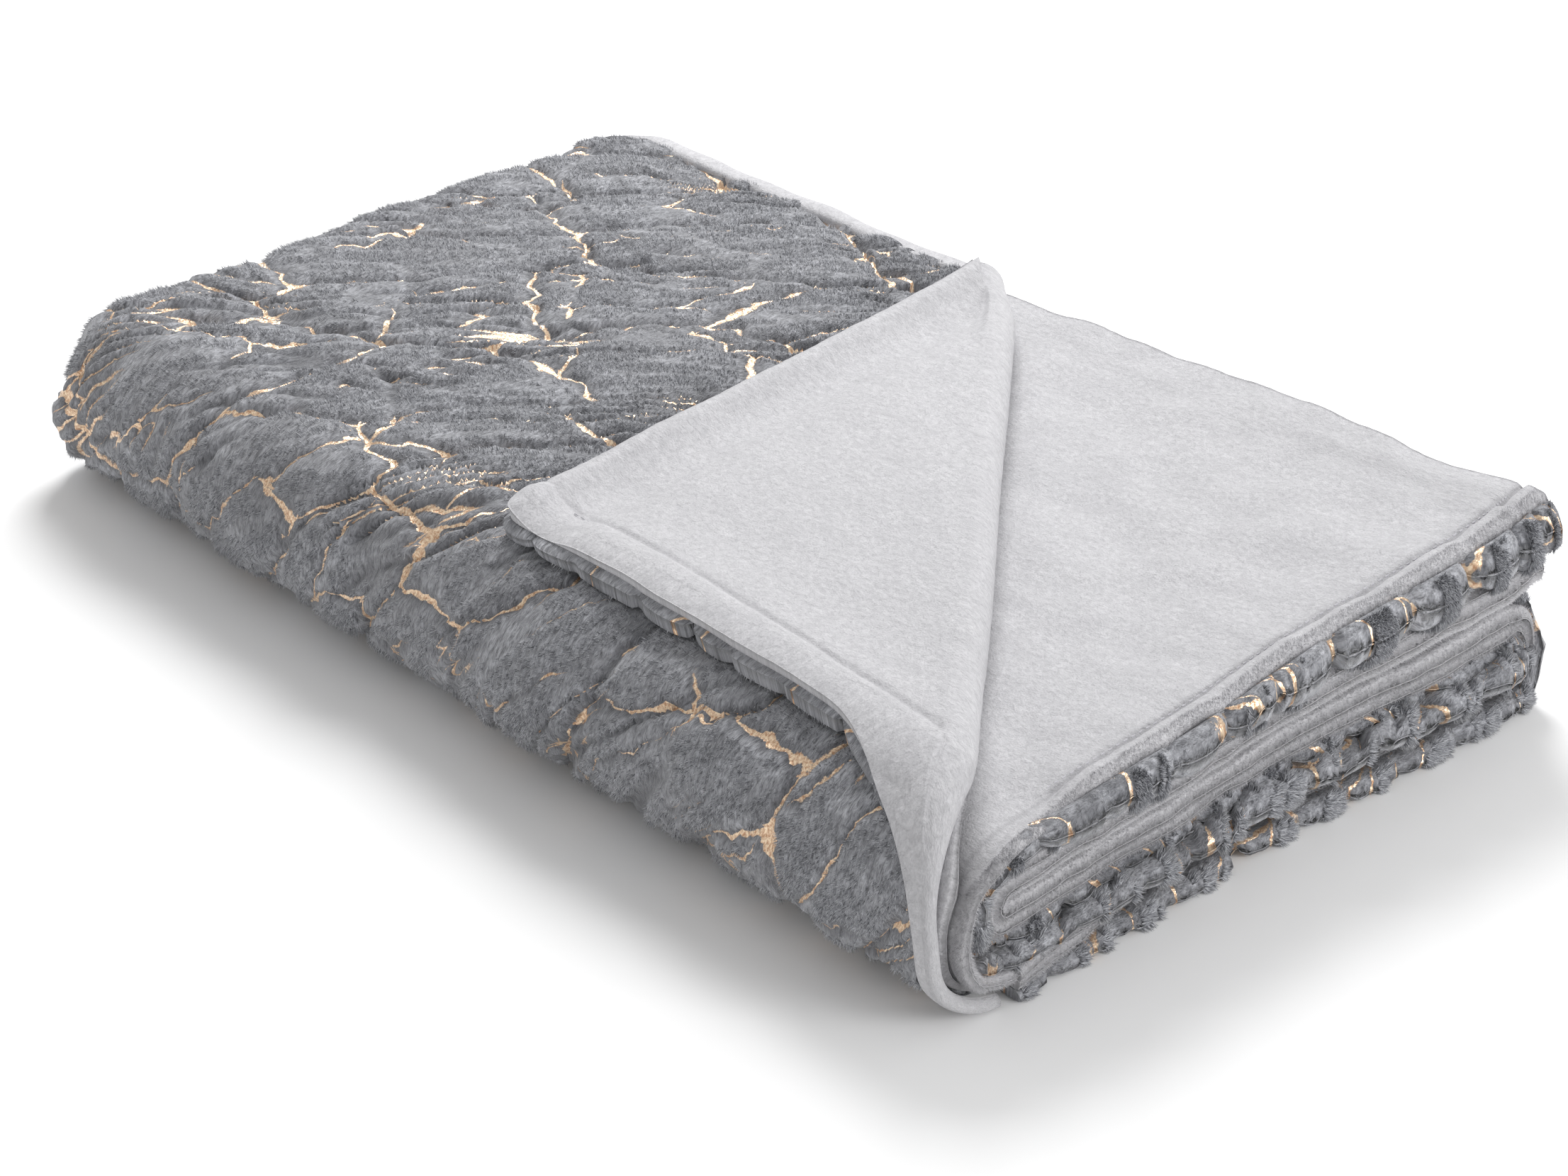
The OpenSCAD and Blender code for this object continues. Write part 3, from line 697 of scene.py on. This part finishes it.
def hem_band(name, s_line, width, h_low, h_high, seed):
    """A self-binding along the path's start: a flattened tube over s_line that reaches width along it."""
    ring = np.linspace(0, 2 * math.pi, 25)[:-1]
    cos, sin = np.cos(ring), np.sin(ring)
    across = 0.5 - 0.5 * np.sign(cos) * np.abs(cos) ** 0.7
    up = np.sign(sin) * np.abs(sin) ** 0.55
    run = s_line - s_line[0]
    u, a = np.meshgrid(run, ring, indexing="ij")
    wobble = 1 + 0.10 * noise(u / 0.05, a * 0 + 1.5, seed)
    t = width * across[None, :] * wobble
    puff = 1 + 0.08 * noise(u / 0.035, a, seed + 1)
    taper = np.sqrt(np.clip(np.minimum(u, run[-1] - u) / 0.006, 0.02, 1))
    h = 0.5 * (h_low + h_high) + 0.5 * (h_high - h_low) * up[None, :] * puff * taper
    points = place(1, s_line[:, None] + 0 * t, t, h)
    return tube(name, points, np.stack([u + 7.0, 0.02 * a / math.pi + 0.1 * seed], -1))


def tube(name, points, uv):
    """A closed tube from rings of points."""
    rows, ring = points.shape[:2]
    flat = points.reshape(-1, 3)
    index = np.arange(rows * ring).reshape(rows, ring)
    after = np.roll(index, -1, axis=1)
    quads = np.stack([index[:-1], index[1:], after[1:], after[:-1]], -1).reshape(-1, 4)
    ends = []
    for row, flip in ((index[0], 1), (index[-1], -1)):
        half = ring // 2
        for k in range(half - 1):
            quad = [row[k], row[k + 1], row[ring - 2 - k], row[ring - 1 - k]]
            ends.append(quad[::flip])
    quads = np.concatenate([quads, np.array(ends)])
    a, b, c, d = (flat[quads[:, k]] for k in range(4))
    if np.einsum("ij,ij->i", a, np.cross(b, c) + np.cross(c, d)).sum() < 0:
        quads = quads[:, ::-1]
    zero = np.zeros(len(flat))
    return mesh_piece(name, flat, quads, uv.reshape(-1, 2), [("seam", zero)])


# ---- materials ----


class Nodes:
    """Short calls for building one material's nodes."""

    def __init__(self, name):
        self.material = bpy.data.materials.new(name)
        self.material.use_nodes = True
        self.tree = self.material.node_tree
        self.tree.nodes.clear()
        self.out = self.add("ShaderNodeOutputMaterial")

    def add(self, kind, inputs=(), **settings):
        made = self.tree.nodes.new(kind)
        for key, value in settings.items():
            setattr(made, key, value)
        for key, value in dict(inputs).items():
            if isinstance(value, bpy.types.NodeSocket):
                self.tree.links.new(value, made.inputs[key])
            else:
                made.inputs[key].default_value = value
        return made

    def cloth(self, scale, turn=0.0):
        """Cloth coordinates in scaled steps per metre."""
        uv = self.add("ShaderNodeUVMap", uv_map="Cloth").outputs[0]
        moved = self.add("ShaderNodeMapping", {0: uv, 2: (0, 0, turn), 3: (*scale, 1)})
        return moved.outputs[0]

    def noise(self, scale, detail=2.0, roughness=0.5, turn=0.0, distortion=0.0):
        inputs = {"Vector": self.cloth(scale, turn), "Scale": 1.0, "Detail": detail, "Roughness": roughness}
        inputs["Distortion"] = distortion
        return self.add("ShaderNodeTexNoise", inputs).outputs[0]

    def maths(self, operation, a, b=0.0, c=0.0):
        return self.add("ShaderNodeMath", {0: a, 1: b, 2: c}, operation=operation).outputs[0]

    def ramp(self, value, low, high, to_low=0.0, to_high=1.0):
        inputs = {0: value, 1: low, 2: high, 3: to_low, 4: to_high}
        return self.add("ShaderNodeMapRange", inputs, clamp=True).outputs[0]

    def mix(self, factor, a, b):
        made = self.add("ShaderNodeMix", data_type="RGBA")
        for key, value in ((0, factor), (6, a), (7, b)):
            if isinstance(value, bpy.types.NodeSocket):
                self.tree.links.new(value, made.inputs[key])
            else:
                made.inputs[key].default_value = value
        return made.outputs[2]

    def attribute(self, name):
        return self.add("ShaderNodeAttribute", attribute_name=name).outputs["Fac"]

    def bump(self, height, strength, distance):
        inputs = {"Height": height, "Strength": strength, "Distance": distance}
        return self.add("ShaderNodeBump", inputs).outputs[0]


def faux_fur():
    """Grey short pile in fine streaky clumps, with painted shade in the grooves and hem notches, painted
    sheen in broad patches, and rose-gold foil in the veins with painted shade in its pits.
    """
    n = Nodes("faux_fur_pile")
    clumps = n.noise((420, 190), 3.0, 0.62, 0.25, 0.4)
    fibres = n.noise((1500, 420), 2.0, 0.6, 0.25, 0.6)
    broad = n.noise((14, 14), 2.0, 0.5)
    depth = n.attribute("depth")
    tips = n.maths("ADD", n.ramp(clumps, 0.32, 0.70, 0.0, 0.62), n.ramp(fibres, 0.3, 0.72, 0.0, 0.38))
    # painted sheen: the pile drawn lighter and darker in broad patches, as light catches fibres that lean one
    # way or another
    sheen_patches = n.noise((30, 62), 3.0, 0.62, 0.8, 0.9)
    tips = n.maths("MULTIPLY", tips, n.ramp(sheen_patches, 0.34, 0.68, 0.66, 1.28))
    # painted shade: the pile is darkened in the grooves and hem notches, down to 0.42 of its tone at the
    # deepest
    tone = n.maths("MULTIPLY", tips, n.ramp(depth, 0.2, 1.0, 1.0, 0.42))
    colour = n.mix(tone, (0.062, 0.064, 0.072, 1), (0.590, 0.598, 0.640, 1))
    warm = n.mix(n.ramp(broad, 0.35, 0.7), colour, n.mix(0.25, colour, (0.30, 0.295, 0.305, 1)))
    height = n.maths("ADD", n.maths("MULTIPLY", clumps, 0.7), n.maths("MULTIPLY", fibres, 0.3))
    normal = n.bump(height, 1.0, 0.0032)
    pile = n.add("ShaderNodeBsdfPrincipled", {
        "Base Color": warm, "Roughness": 0.78, "Sheen Weight": 0.35, "Sheen Roughness": 0.45,
        "Normal": normal, "Specular IOR Level": 0.25,
    })

    foiled = n.attribute("rim_foil")
    for kind in VEINS:
        off = n.maths("ABSOLUTE", n.attribute(f"{kind}_off"))
        inside = n.maths("SUBTRACT", n.attribute(f"{kind}_half"), off)
        foiled = n.maths("MAXIMUM", foiled, inside)
    ragged = n.maths("MULTIPLY_ADD", n.noise((900, 900), 3.0, 0.6), 1.3, -0.62)
    inside = n.maths("ADD", foiled, ragged)
    foil_mask = n.ramp(inside, -0.05, 0.22)
    pits = n.noise((700, 500), 2.0, 0.7, 0.25)
    # painted shade and light: the foil's dark copper is the gold as seen in shade, put in the low pits of its
    # bump, and the pale cream is the gold as seen in light
    gold = n.mix(n.ramp(pits, 0.36, 0.62), (0.56, 0.32, 0.19, 1), (1.0, 0.80, 0.58, 1))
    foil = n.add("ShaderNodeBsdfPrincipled", {
        "Base Color": gold, "Metallic": 0.65, "Roughness": 0.34, "Normal": n.bump(pits, 0.6, 0.0012),
    })
    mixed = n.add("ShaderNodeMixShader", {0: foil_mask, 1: pile.outputs[0], 2: foil.outputs[0]})
    n.tree.links.new(mixed.outputs[0], n.out.inputs[0])
    return n.material


def fleece():
    """Light grey short nap, finely speckled, with painted shade along its sunken seams and painted sheen in
    broad patches.
    """
    n = Nodes("fleece_nap")
    speckle = n.noise((900, 900), 3.0, 0.65)
    tufts = n.noise((260, 300), 3.0, 0.6, 0.4, 0.5)
    nap_sheen_patches = n.noise((38, 75), 3.0, 0.6, 0.5, 0.8)
    seam = n.attribute("seam")
    tone = n.maths("ADD", n.ramp(speckle, 0.3, 0.7, 0.0, 0.5), n.ramp(tufts, 0.3, 0.7, 0.0, 0.5))
    # painted shade: the nap darkened along the sunken seams
    tone = n.maths("MULTIPLY", tone, n.ramp(seam, 0.2, 1.0, 1.0, 0.35))
    colour = n.mix(tone, (0.390, 0.386, 0.402, 1), (0.700, 0.694, 0.714, 1))
    # painted sheen: the nap drawn darker in broad patches, where it would catch less light
    shade = n.mix(n.ramp(nap_sheen_patches, 0.36, 0.66, 0.0, 0.34), colour, (0.440, 0.436, 0.454, 1))
    height = n.maths("ADD", n.maths("MULTIPLY", speckle, 0.4), n.maths("MULTIPLY", tufts, 0.6))
    nap = n.add("ShaderNodeBsdfPrincipled", {
        "Base Color": shade, "Roughness": 0.92, "Sheen Weight": 0.30, "Sheen Roughness": 0.5,
        "Normal": n.bump(height, 0.9, 0.0016), "Specular IOR Level": 0.15,
    })
    n.tree.links.new(nap.outputs[0], n.out.inputs[0])
    return n.material


FUR = faux_fur()
FLEECE = fleece()


def finish_piece(piece, material, slot, *nodes):
    piece.data.materials.append(material)
    if nodes:
        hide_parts(*nodes)
    return piece


# ---- the plies ----

FINE = 2.4
FINE_HEM = 1.7
STEP, HEM_STEP, HIDDEN = FINE * MM, FINE_HEM * MM, 16 * MM
UPPER_SPANS = [(0.0, T_FRONT, STEP), (T_FRONT, T_BOTTOM, STEP)]
TOP_EDGE, LOWER_EDGE = 0.012, 0.004


def upper(piece):
    """A ply that runs on round the front fold into the bottom leaf; its placement is baked into its mesh."""
    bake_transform(piece)
    return piece


def lift_second(s, t):
    """How the second cloth's free corner swells towards its hems and dips at the front."""
    x, y = HEM_X - s, BACK_EDGE - t
    swell = 0.0030 * layered(x / 0.09, y / 0.09, 171, 2) + 0.0018 * noise(x / 0.035, y / 0.035, 172)
    funnel = -0.010 * np.exp(-(((x - 0.372) / 0.035) ** 2 + ((y + 0.20) / 0.05) ** 2))
    beside = smooth(0.0, 0.05, x - (BEND_AT[0] + ALONG[0] * (y - BEND_AT[1]) / ALONG[1]))
    return (swell * beside) + funnel


PLY_KINDS = {"fur": (fur_ply, FUR, "faux_fur"), "fleece": (fleece_ply, FLEECE, "fleece")}


def build_plies():
    front_steps = [(TOP_EDGE, T_FRONT, STEP), (T_FRONT, T_BOTTOM, STEP)]
    top_fur = fur_ply("top_leaf_fur", 1, front_steps, HEM_STEP, STEP, fur_start, 1, TOP_EDGE, lobed=False)
    finish_piece(top_fur, FUR, "faux_fur", "top_upper_fur", "top_front_outer_fur", "bottom_front_outer_fur",
                 "crease_lower_fur", "top_end_fold_fur")
    upper(top_fur)

    coarse = 3 * STEP
    top_fleece = fleece_ply("top_leaf_fleece", 1, [(0.0, T_BOTTOM, coarse)], HEM_STEP, coarse,
                            crease_start, 1)
    finish_piece(top_fleece, FLEECE, "fleece", "top_upper_fleece", "top_front_outer_fleece",
                 "bottom_front_outer_fleece", "top_end_fold_fleece")
    upper(top_fleece)

    lower_fleece = fleece_ply("top_leaf_lower_fleece", -1, UPPER_SPANS, HEM_STEP, STEP, None, 2,
                              lift_second)
    finish_piece(lower_fleece, FLEECE, "fleece", "top_lower_fleece", "top_front_inner_fleece",
                 "bottom_front_inner_fleece", "top_lower_back_hem", "top_lower_end_hem")
    upper(lower_fleece)

    lower_fur = fur_ply("top_leaf_lower_fur", -1, [(LOWER_EDGE, T_BOTTOM, HEM_STEP)], HEM_STEP, HIDDEN,
                        None, 2)
    finish_piece(lower_fur, FUR, "faux_fur", "top_lower_fur", "top_front_inner_fur", "bottom_front_inner_fur",
                 "top_front_end_hem")
    upper(lower_fur)
    build_lower_leaves()


def build_lower_leaves():
    """The plies of the bottom, third and second leaves, each in one piece over both of their folds."""
    rest = [
        ("outer_leaves_fur", 1, "fur", ("bottom_lower_fur", "back_fold_outer_fur", "third_upper_fur",
         "core_fold_inner_fur", "second_lower_fur", "bottom_end_fold_fur", "second_end_fold_fur",
         "third_end_fold_fur")),
        ("outer_leaves_fleece", 1, "fleece", ("bottom_lower_fleece", "back_fold_outer_fleece",
         "third_upper_fleece", "core_fold_inner_fleece", "second_lower_fleece", "bottom_end_fold_fleece",
         "second_end_fold_fleece", "third_end_fold_fleece", "third_end_hems")),
        ("inner_leaves_fur", -1, "fur", ("bottom_upper_fur", "back_fold_inner_fur", "third_lower_fur",
         "core_fold_outer_fur", "second_upper_fur", "bottom_end_hems")),
        ("inner_leaves_fleece", -1, "fleece", ("bottom_upper_fleece", "back_fold_inner_fleece",
         "third_lower_fleece", "core_fold_outer_fleece", "second_upper_fleece", "second_end_hems",
         "second_back_hems")),
    ]
    spans = [(T_BOTTOM, T_END, 1.5 * HEM_STEP)]
    for seed, (name, side, kind, nodes) in enumerate(rest):
        far = 8 * MM if side > 0 else HIDDEN
        ply, material, slot = PLY_KINDS[kind]
        piece = ply(name, side, spans, HEM_STEP, far, None, 3 + seed)
        finish_piece(piece, material, slot, *nodes)
        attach(piece, "pack")


def build_flap():
    rows = 300
    columns = 150
    fur_r = (0.0003, FUR_T)
    fleece_r = (FUR_T + PLY_GAP, END_R)
    turned_fleece = flap_ply("turned_corner_fleece", *fleece_r, 1.0, rows, columns, "fleece")
    finish_piece(turned_fleece, FLEECE, "fleece", "corner_fleece", "crease_lower_fleece",
                 "crease_upper_fleece", "corner_back_hem", "corner_end_hem")
    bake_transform(turned_fleece)
    turned_fur = flap_ply("turned_corner_fur", *fur_r, 0.5, rows, columns, "fur")
    finish_piece(turned_fur, FUR, "faux_fur", "corner_fur", "crease_upper_fur")
    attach(turned_fur, "corner")


def build_hems():
    s = np.linspace(HEM_X + 0.022, FLAT + TURN, 300)
    back = hem_band("top_back_hem", s, HEM_W, 0.0004, CLOTH + 0.0006, 201)
    finish_piece(back, FLEECE, "hem_binding", "top_upper_back_hem")
    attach(back, "top_leaf")


# ---- the pile's longer hairs ----

PILE_TONES = ((0.120, 0.123, 0.136), (0.300, 0.306, 0.334), (0.600, 0.608, 0.640),
              (0.330, 0.326, 0.346), (0.470, 0.464, 0.488), (0.620, 0.612, 0.640))


def pile_material(k):
    n = Nodes(f"pile_hair_{k}")
    hair = n.add("ShaderNodeBsdfPrincipled", {
        "Base Color": (*PILE_TONES[k], 1), "Roughness": 0.65, "Sheen Weight": 0.3, "Sheen Roughness": 0.4,
    })
    n.tree.links.new(hair.outputs[0], n.out.inputs[0])
    return n.material


PILE = [pile_material(k) for k in range(3)]
NAP = [pile_material(k) for k in range(3, 6)]


def pile(name, outer, inner, hidden, count, length, seed, rows=(0, None), materials=PILE):
    """Slim spikes that stand on a ply's outer face and lean along it, away from the foil and the grooves."""
    draw = np.random.default_rng(seed)
    rows = slice(*rows)
    outer, inner, hidden = outer[rows], inner[rows], hidden[rows]
    du = np.linalg.norm(np.diff(outer, axis=0), axis=-1)[:, :-1]
    dv = np.linalg.norm(np.diff(outer, axis=1), axis=-1)[:-1, :]
    weight = (du * dv * (hidden[:-1, :-1] < -HAIR_CLEAR)).ravel()
    cell = draw.choice(weight.size, count, p=weight / weight.sum())
    i, j = np.unravel_index(cell, du.shape)
    fu, fv = draw.random((2, count, 1))
    at = (outer[i, j] * (1 - fu) + outer[i + 1, j] * fu) * (1 - fv)
    at = at + outer[i, j + 1] * fv * (1 - fu) + outer[i + 1, j + 1] * fv * fu
    along_s = outer[i + 1, j] - outer[i, j]
    along_t = outer[i, j + 1] - outer[i, j]
    normal = np.cross(along_s, along_t)
    normal = normal / np.maximum(np.linalg.norm(normal, axis=1), 1e-12)[:, None]
    away = outer[i, j] - inner[i, j]
    normal = normal * np.sign((normal * away).sum(1))[:, None]
    nap = along_t / np.maximum(np.linalg.norm(along_t, axis=1), 1e-12)[:, None]
    swirl = noise(at[:, 0] / 0.03, at[:, 1] / 0.03 + at[:, 2] / 0.03, 301)[:, None]
    side_way = np.cross(normal, nap)
    forward = 0.75 + 0.3 * draw.standard_normal((count, 1))
    sideways = swirl + 0.3 * draw.standard_normal((count, 1))
    lean = nap * forward + side_way * sideways
    size = length * (0.6 + 0.8 * draw.random((count, 1)))
    tip = at + (normal * (0.62 + 0.25 * draw.random((count, 1))) + lean * 0.62) * size
    root = at - normal * 0.0012
    girth = 0.1 * length * (0.7 + 0.6 * draw.random((count, 1)))
    turn = draw.random((count, 1)) * 2 * math.pi
    corners = []
    for k in range(3):
        a = turn + 2 * math.pi * k / 3
        corners.append(root + (nap * np.cos(a) + side_way * np.sin(a)) * girth)
    points = np.stack([*corners, tip], 1).reshape(-1, 3)
    points[:, 2] = np.maximum(points[:, 2], FLOOR_SKIN)
    base = 4 * np.arange(count)[:, None]
    faces = np.concatenate([base + np.array(f) for f in ((0, 2, 1), (0, 1, 3), (1, 2, 3), (2, 0, 3))])
    uv = points[:, :2]
    piece = mesh_piece(name, points, faces, uv)
    for material in materials:
        piece.data.materials.append(material)
    tone = draw.choice(3, count, p=(0.22, 0.48, 0.30))
    piece.data.polygons.foreach_set("material_index", np.tile(tone, 4).astype(np.int32))
    return piece


build_plies()
build_flap()
build_hems()


RIDERS = {}


def carry(ply, piece):
    """Notes that a piece of pile or thread sits on a ply."""
    RIDERS.setdefault(ply, []).append(piece)
    return piece


def declare_sheets():
    """Every ply's flat width and length, and its flat area where the crease cuts across it, worked out and
    then neither kept nor used.
    """
    outer, inner = FLAT + TURN, FLAT
    cuts = {
        "top_leaf_fur": (fur_start, TOP_EDGE, T_BOTTOM, outer),
        "top_leaf_fleece": (crease_start, 0.0, T_BOTTOM, outer),
        "top_leaf_lower_fleece": (None, 0.0, T_BOTTOM, inner),
        "top_leaf_lower_fur": (None, LOWER_EDGE, T_BOTTOM, inner),
        "outer_leaves_fur": (None, T_BOTTOM, T_END, outer),
        "outer_leaves_fleece": (None, T_BOTTOM, T_END, outer),
        "inner_leaves_fur": (None, T_BOTTOM, T_END, inner),
        "inner_leaves_fleece": (None, T_BOTTOM, T_END, inner),
    }
    for name, (start, low, high, width) in cuts.items():
        area = None
        if start:
            area = float((width - start(np.linspace(low, high, 400))).mean() * (high - low))
    crease, hem = flap_lines(200)
    tip = np.array([FLAP_TIP[0], TIP_T])
    low = float(np.linalg.norm(crease[170] - tip))


def hem_pile(name, body, count, ply, reach, edge_share, length, seed, materials):
    """Hairs on both faces of a hidden ply, but only as far in from the hemmed end as anyone sees."""
    outer, inner, hidden, from_edge = GRIDS[ply]
    rows = int((from_edge.min(axis=1) < reach).sum())
    count = count
    for face, near, far, share in (("face", outer, inner, 1), ("edge", inner, outer, edge_share)):
        last = rows if share == 1 else max(4, rows // share)
        made = pile(f"{name}_{face}", near, far, hidden, count // share, length, seed, (0, last), materials)
        carry(ply, made)
        if body == "pack":
            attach(made, body)
        else:
            upper(made)


def build_pile():
    outer, inner, hidden, _ = GRIDS["top_leaf_fur"]
    share = 48000
    for k in range(3):
        made = pile(f"top_pile_{k}", outer, inner, hidden, share, 0.0030, 401 + k)
        upper(carry("top_leaf_fur", made))
    for name, body, count, ply in (("lower_pile", "top_leaf", 26000, "top_leaf_lower_fur"),
                                   ("outer_pile", "pack", 42000, "outer_leaves_fur"),
                                   ("inner_pile", "pack", 42000, "inner_leaves_fur")):
        hem_pile(name, body, count, ply, 0.022, 3, 0.0040, 411, PILE)
    for name, body, count, ply in (("second_nap", "top_leaf", 12000, "top_leaf_lower_fleece"),
                                   ("outer_nap", "pack", 22000, "outer_leaves_fleece"),
                                   ("inner_nap", "pack", 22000, "inner_leaves_fleece")):
        hem_pile(name, body, count, ply, 0.010, 1, 0.0021, 431, NAP)
    outer, inner, hidden, _ = GRIDS["turned_corner_fur"]
    made = pile("corner_pile", outer, inner, hidden, 30000, 0.0034, 421)
    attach(carry("turned_corner_fur", made), "corner")


build_pile()

# ---- stitching ----


STITCH_PITCH, ROW_END = 0.0055, 0.005
RINGS = (-0.0017, -0.0009, 0.0, 0.0009, 0.0017)   # along one stitch, from its middle
SIDES = 6
THREAD_R, THREAD_RISE = 0.0005, 0.0004
ONWARD = 1e-4


def stitches(name, line_s, line_t, side, h, body, node):
    """A row of short thread loops along a line of s and t."""
    run = np.concatenate([[0], np.cumsum(np.hypot(np.diff(line_s), np.diff(line_t)))])
    centres = np.arange(ROW_END, run[-1] - ROW_END, STITCH_PITCH)
    points, quads = [], []
    for centre in centres:
        for end in RINGS:
            s0, t0 = np.interp(centre + end, run, line_s), np.interp(centre + end, run, line_t)
            ds = np.interp(centre + end + ONWARD, run, line_s) - s0
            dt = np.interp(centre + end + ONWARD, run, line_t) - t0
            size = max(1e-9, math.hypot(ds, dt))
            fat = THREAD_R * math.sqrt(max(0.05, 1 - (end / 0.0019) ** 2))
            arch = h + THREAD_RISE * (1 - (end / RINGS[-1]) ** 2)
            for k in range(SIDES):
                a = 2 * math.pi * k / SIDES
                points.append((s0 - dt / size * fat * math.cos(a), t0 + ds / size * fat * math.cos(a),
                               arch + side * fat * math.sin(a)))
    grid = np.array(points)
    placed = place(side, grid[:, 0], grid[:, 1], grid[:, 2])
    for c in range(len(centres)):
        first = c * len(RINGS) * SIDES
        for r in range(len(RINGS) - 1):
            a = first + r * SIDES
            for k in range(SIDES):
                after = (k + 1) % SIDES
                quads.append((a + k, a + after, a + SIDES + after, a + SIDES + k))
        for r, order in ((0, 1), (len(RINGS) - 1, -1)):
            a = first + r * SIDES
            quads.append((a, a + 1, a + 2, a + 3)[::order])
            quads.append((a, a + 3, a + 4, a + 5)[::order])
    uv = np.stack([grid[:, 0], grid[:, 1]], -1)
    piece = mesh_piece(name, placed, np.array(quads), uv)
    piece.data.materials.append(THREAD)
    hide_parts(node)
    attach(piece, body)
    return piece


def thread():
    """Grey twisted thread."""
    n = Nodes("hem_thread")
    twist = n.add("ShaderNodeTexWave", {"Vector": n.cloth((900, 900), 0.6), "Scale": 1.0, "Distortion": 1.0})
    colour = n.mix(twist.outputs[1], (0.42, 0.42, 0.45, 1), (0.66, 0.65, 0.68, 1))
    strand = n.add("ShaderNodeBsdfPrincipled", {
        "Base Color": colour, "Roughness": 0.6, "Normal": n.bump(twist.outputs[1], 0.5, 0.0003),
    })
    n.tree.links.new(strand.outputs[0], n.out.inputs[0])
    return n.material


THREAD = thread()


def build_stitching():
    t = np.linspace(0.02, T_FRONT - 0.03, 200)
    row = stitches("second_hem_thread", 0 * t + HEM_W, t, -1, -0.0006, "top_leaf", "top_hem_stitching")
    carry("top_leaf_lower_fleece", row)
    x = np.linspace(FLAP_TIP[0] + 0.03, HEM_X - 0.08, 200)
    row_t = np.interp(x, *LOW_HEM) - 0.024
    row = stitches("corner_thread", HEM_X - x, row_t, 1, 2 * PITCH - 0.0016, "corner", "corner_stitching")
    carry("turned_corner_fleece", row)


build_stitching()
declare_sheets()

# ---- camera, floor and light ----


def camera():
    """The photo's point of view."""
    made = bpy.data.objects.new("camera", bpy.data.cameras.new("camera"))
    bpy.context.collection.objects.link(made)
    made.location = (1.218, -1.132, 0.983)
    made.rotation_euler = (math.radians(90 - 30.749), 0, math.radians(46.556))
    made.data.lens = 72.5
    made.data.sensor_width = 36
    made.data.clip_start = 0.05
    bpy.context.scene.camera = made


def floor():
    """The plain pale ground that the blanket lies on."""
    mesh = bpy.data.meshes.new("floor")
    size = 6.0
    corners = [(-size, -size, 0), (size, -size, 0), (size, size, 0), (-size, size, 0)]
    mesh.from_pydata(corners, [], [(0, 1, 2, 3)])
    made = bpy.data.objects.new("floor", mesh)
    bpy.context.collection.objects.link(made)
    material = bpy.data.materials.new("floor")
    material.use_nodes = True
    shader = material.node_tree.nodes["Principled BSDF"]
    shader.inputs["Base Color"].default_value = (0.93, 0.93, 0.93, 1)
    shader.inputs["Roughness"].default_value = 0.9
    mesh.materials.append(material)


def softbox(name, place_at, size, power, aim=(0, 0, 0.05)):
    data = bpy.data.lights.new(name, "AREA")
    data.shape = "RECTANGLE"
    data.size, data.size_y = size
    data.energy = power
    made = bpy.data.objects.new(name, data)
    made.location = place_at
    made.rotation_euler = (Vector(aim) - Vector(place_at)).to_track_quat("-Z", "Y").to_euler()
    bpy.context.collection.objects.link(made)


def studio():
    world = bpy.data.worlds.new("studio")
    world.use_nodes = True
    world.node_tree.nodes["Background"].inputs[0].default_value = (1, 1, 1, 1)
    world.node_tree.nodes["Background"].inputs[1].default_value = 0.62
    bpy.context.scene.world = world
    bpy.context.scene.view_settings.view_transform = "Standard"
    softbox("overhead", (-0.9, 0.9, 1.7), (0.9, 0.9), 36)
    softbox("side", (2.2, 0.5, 0.9), (0.9, 0.9), 22)


camera()
floor()
studio()
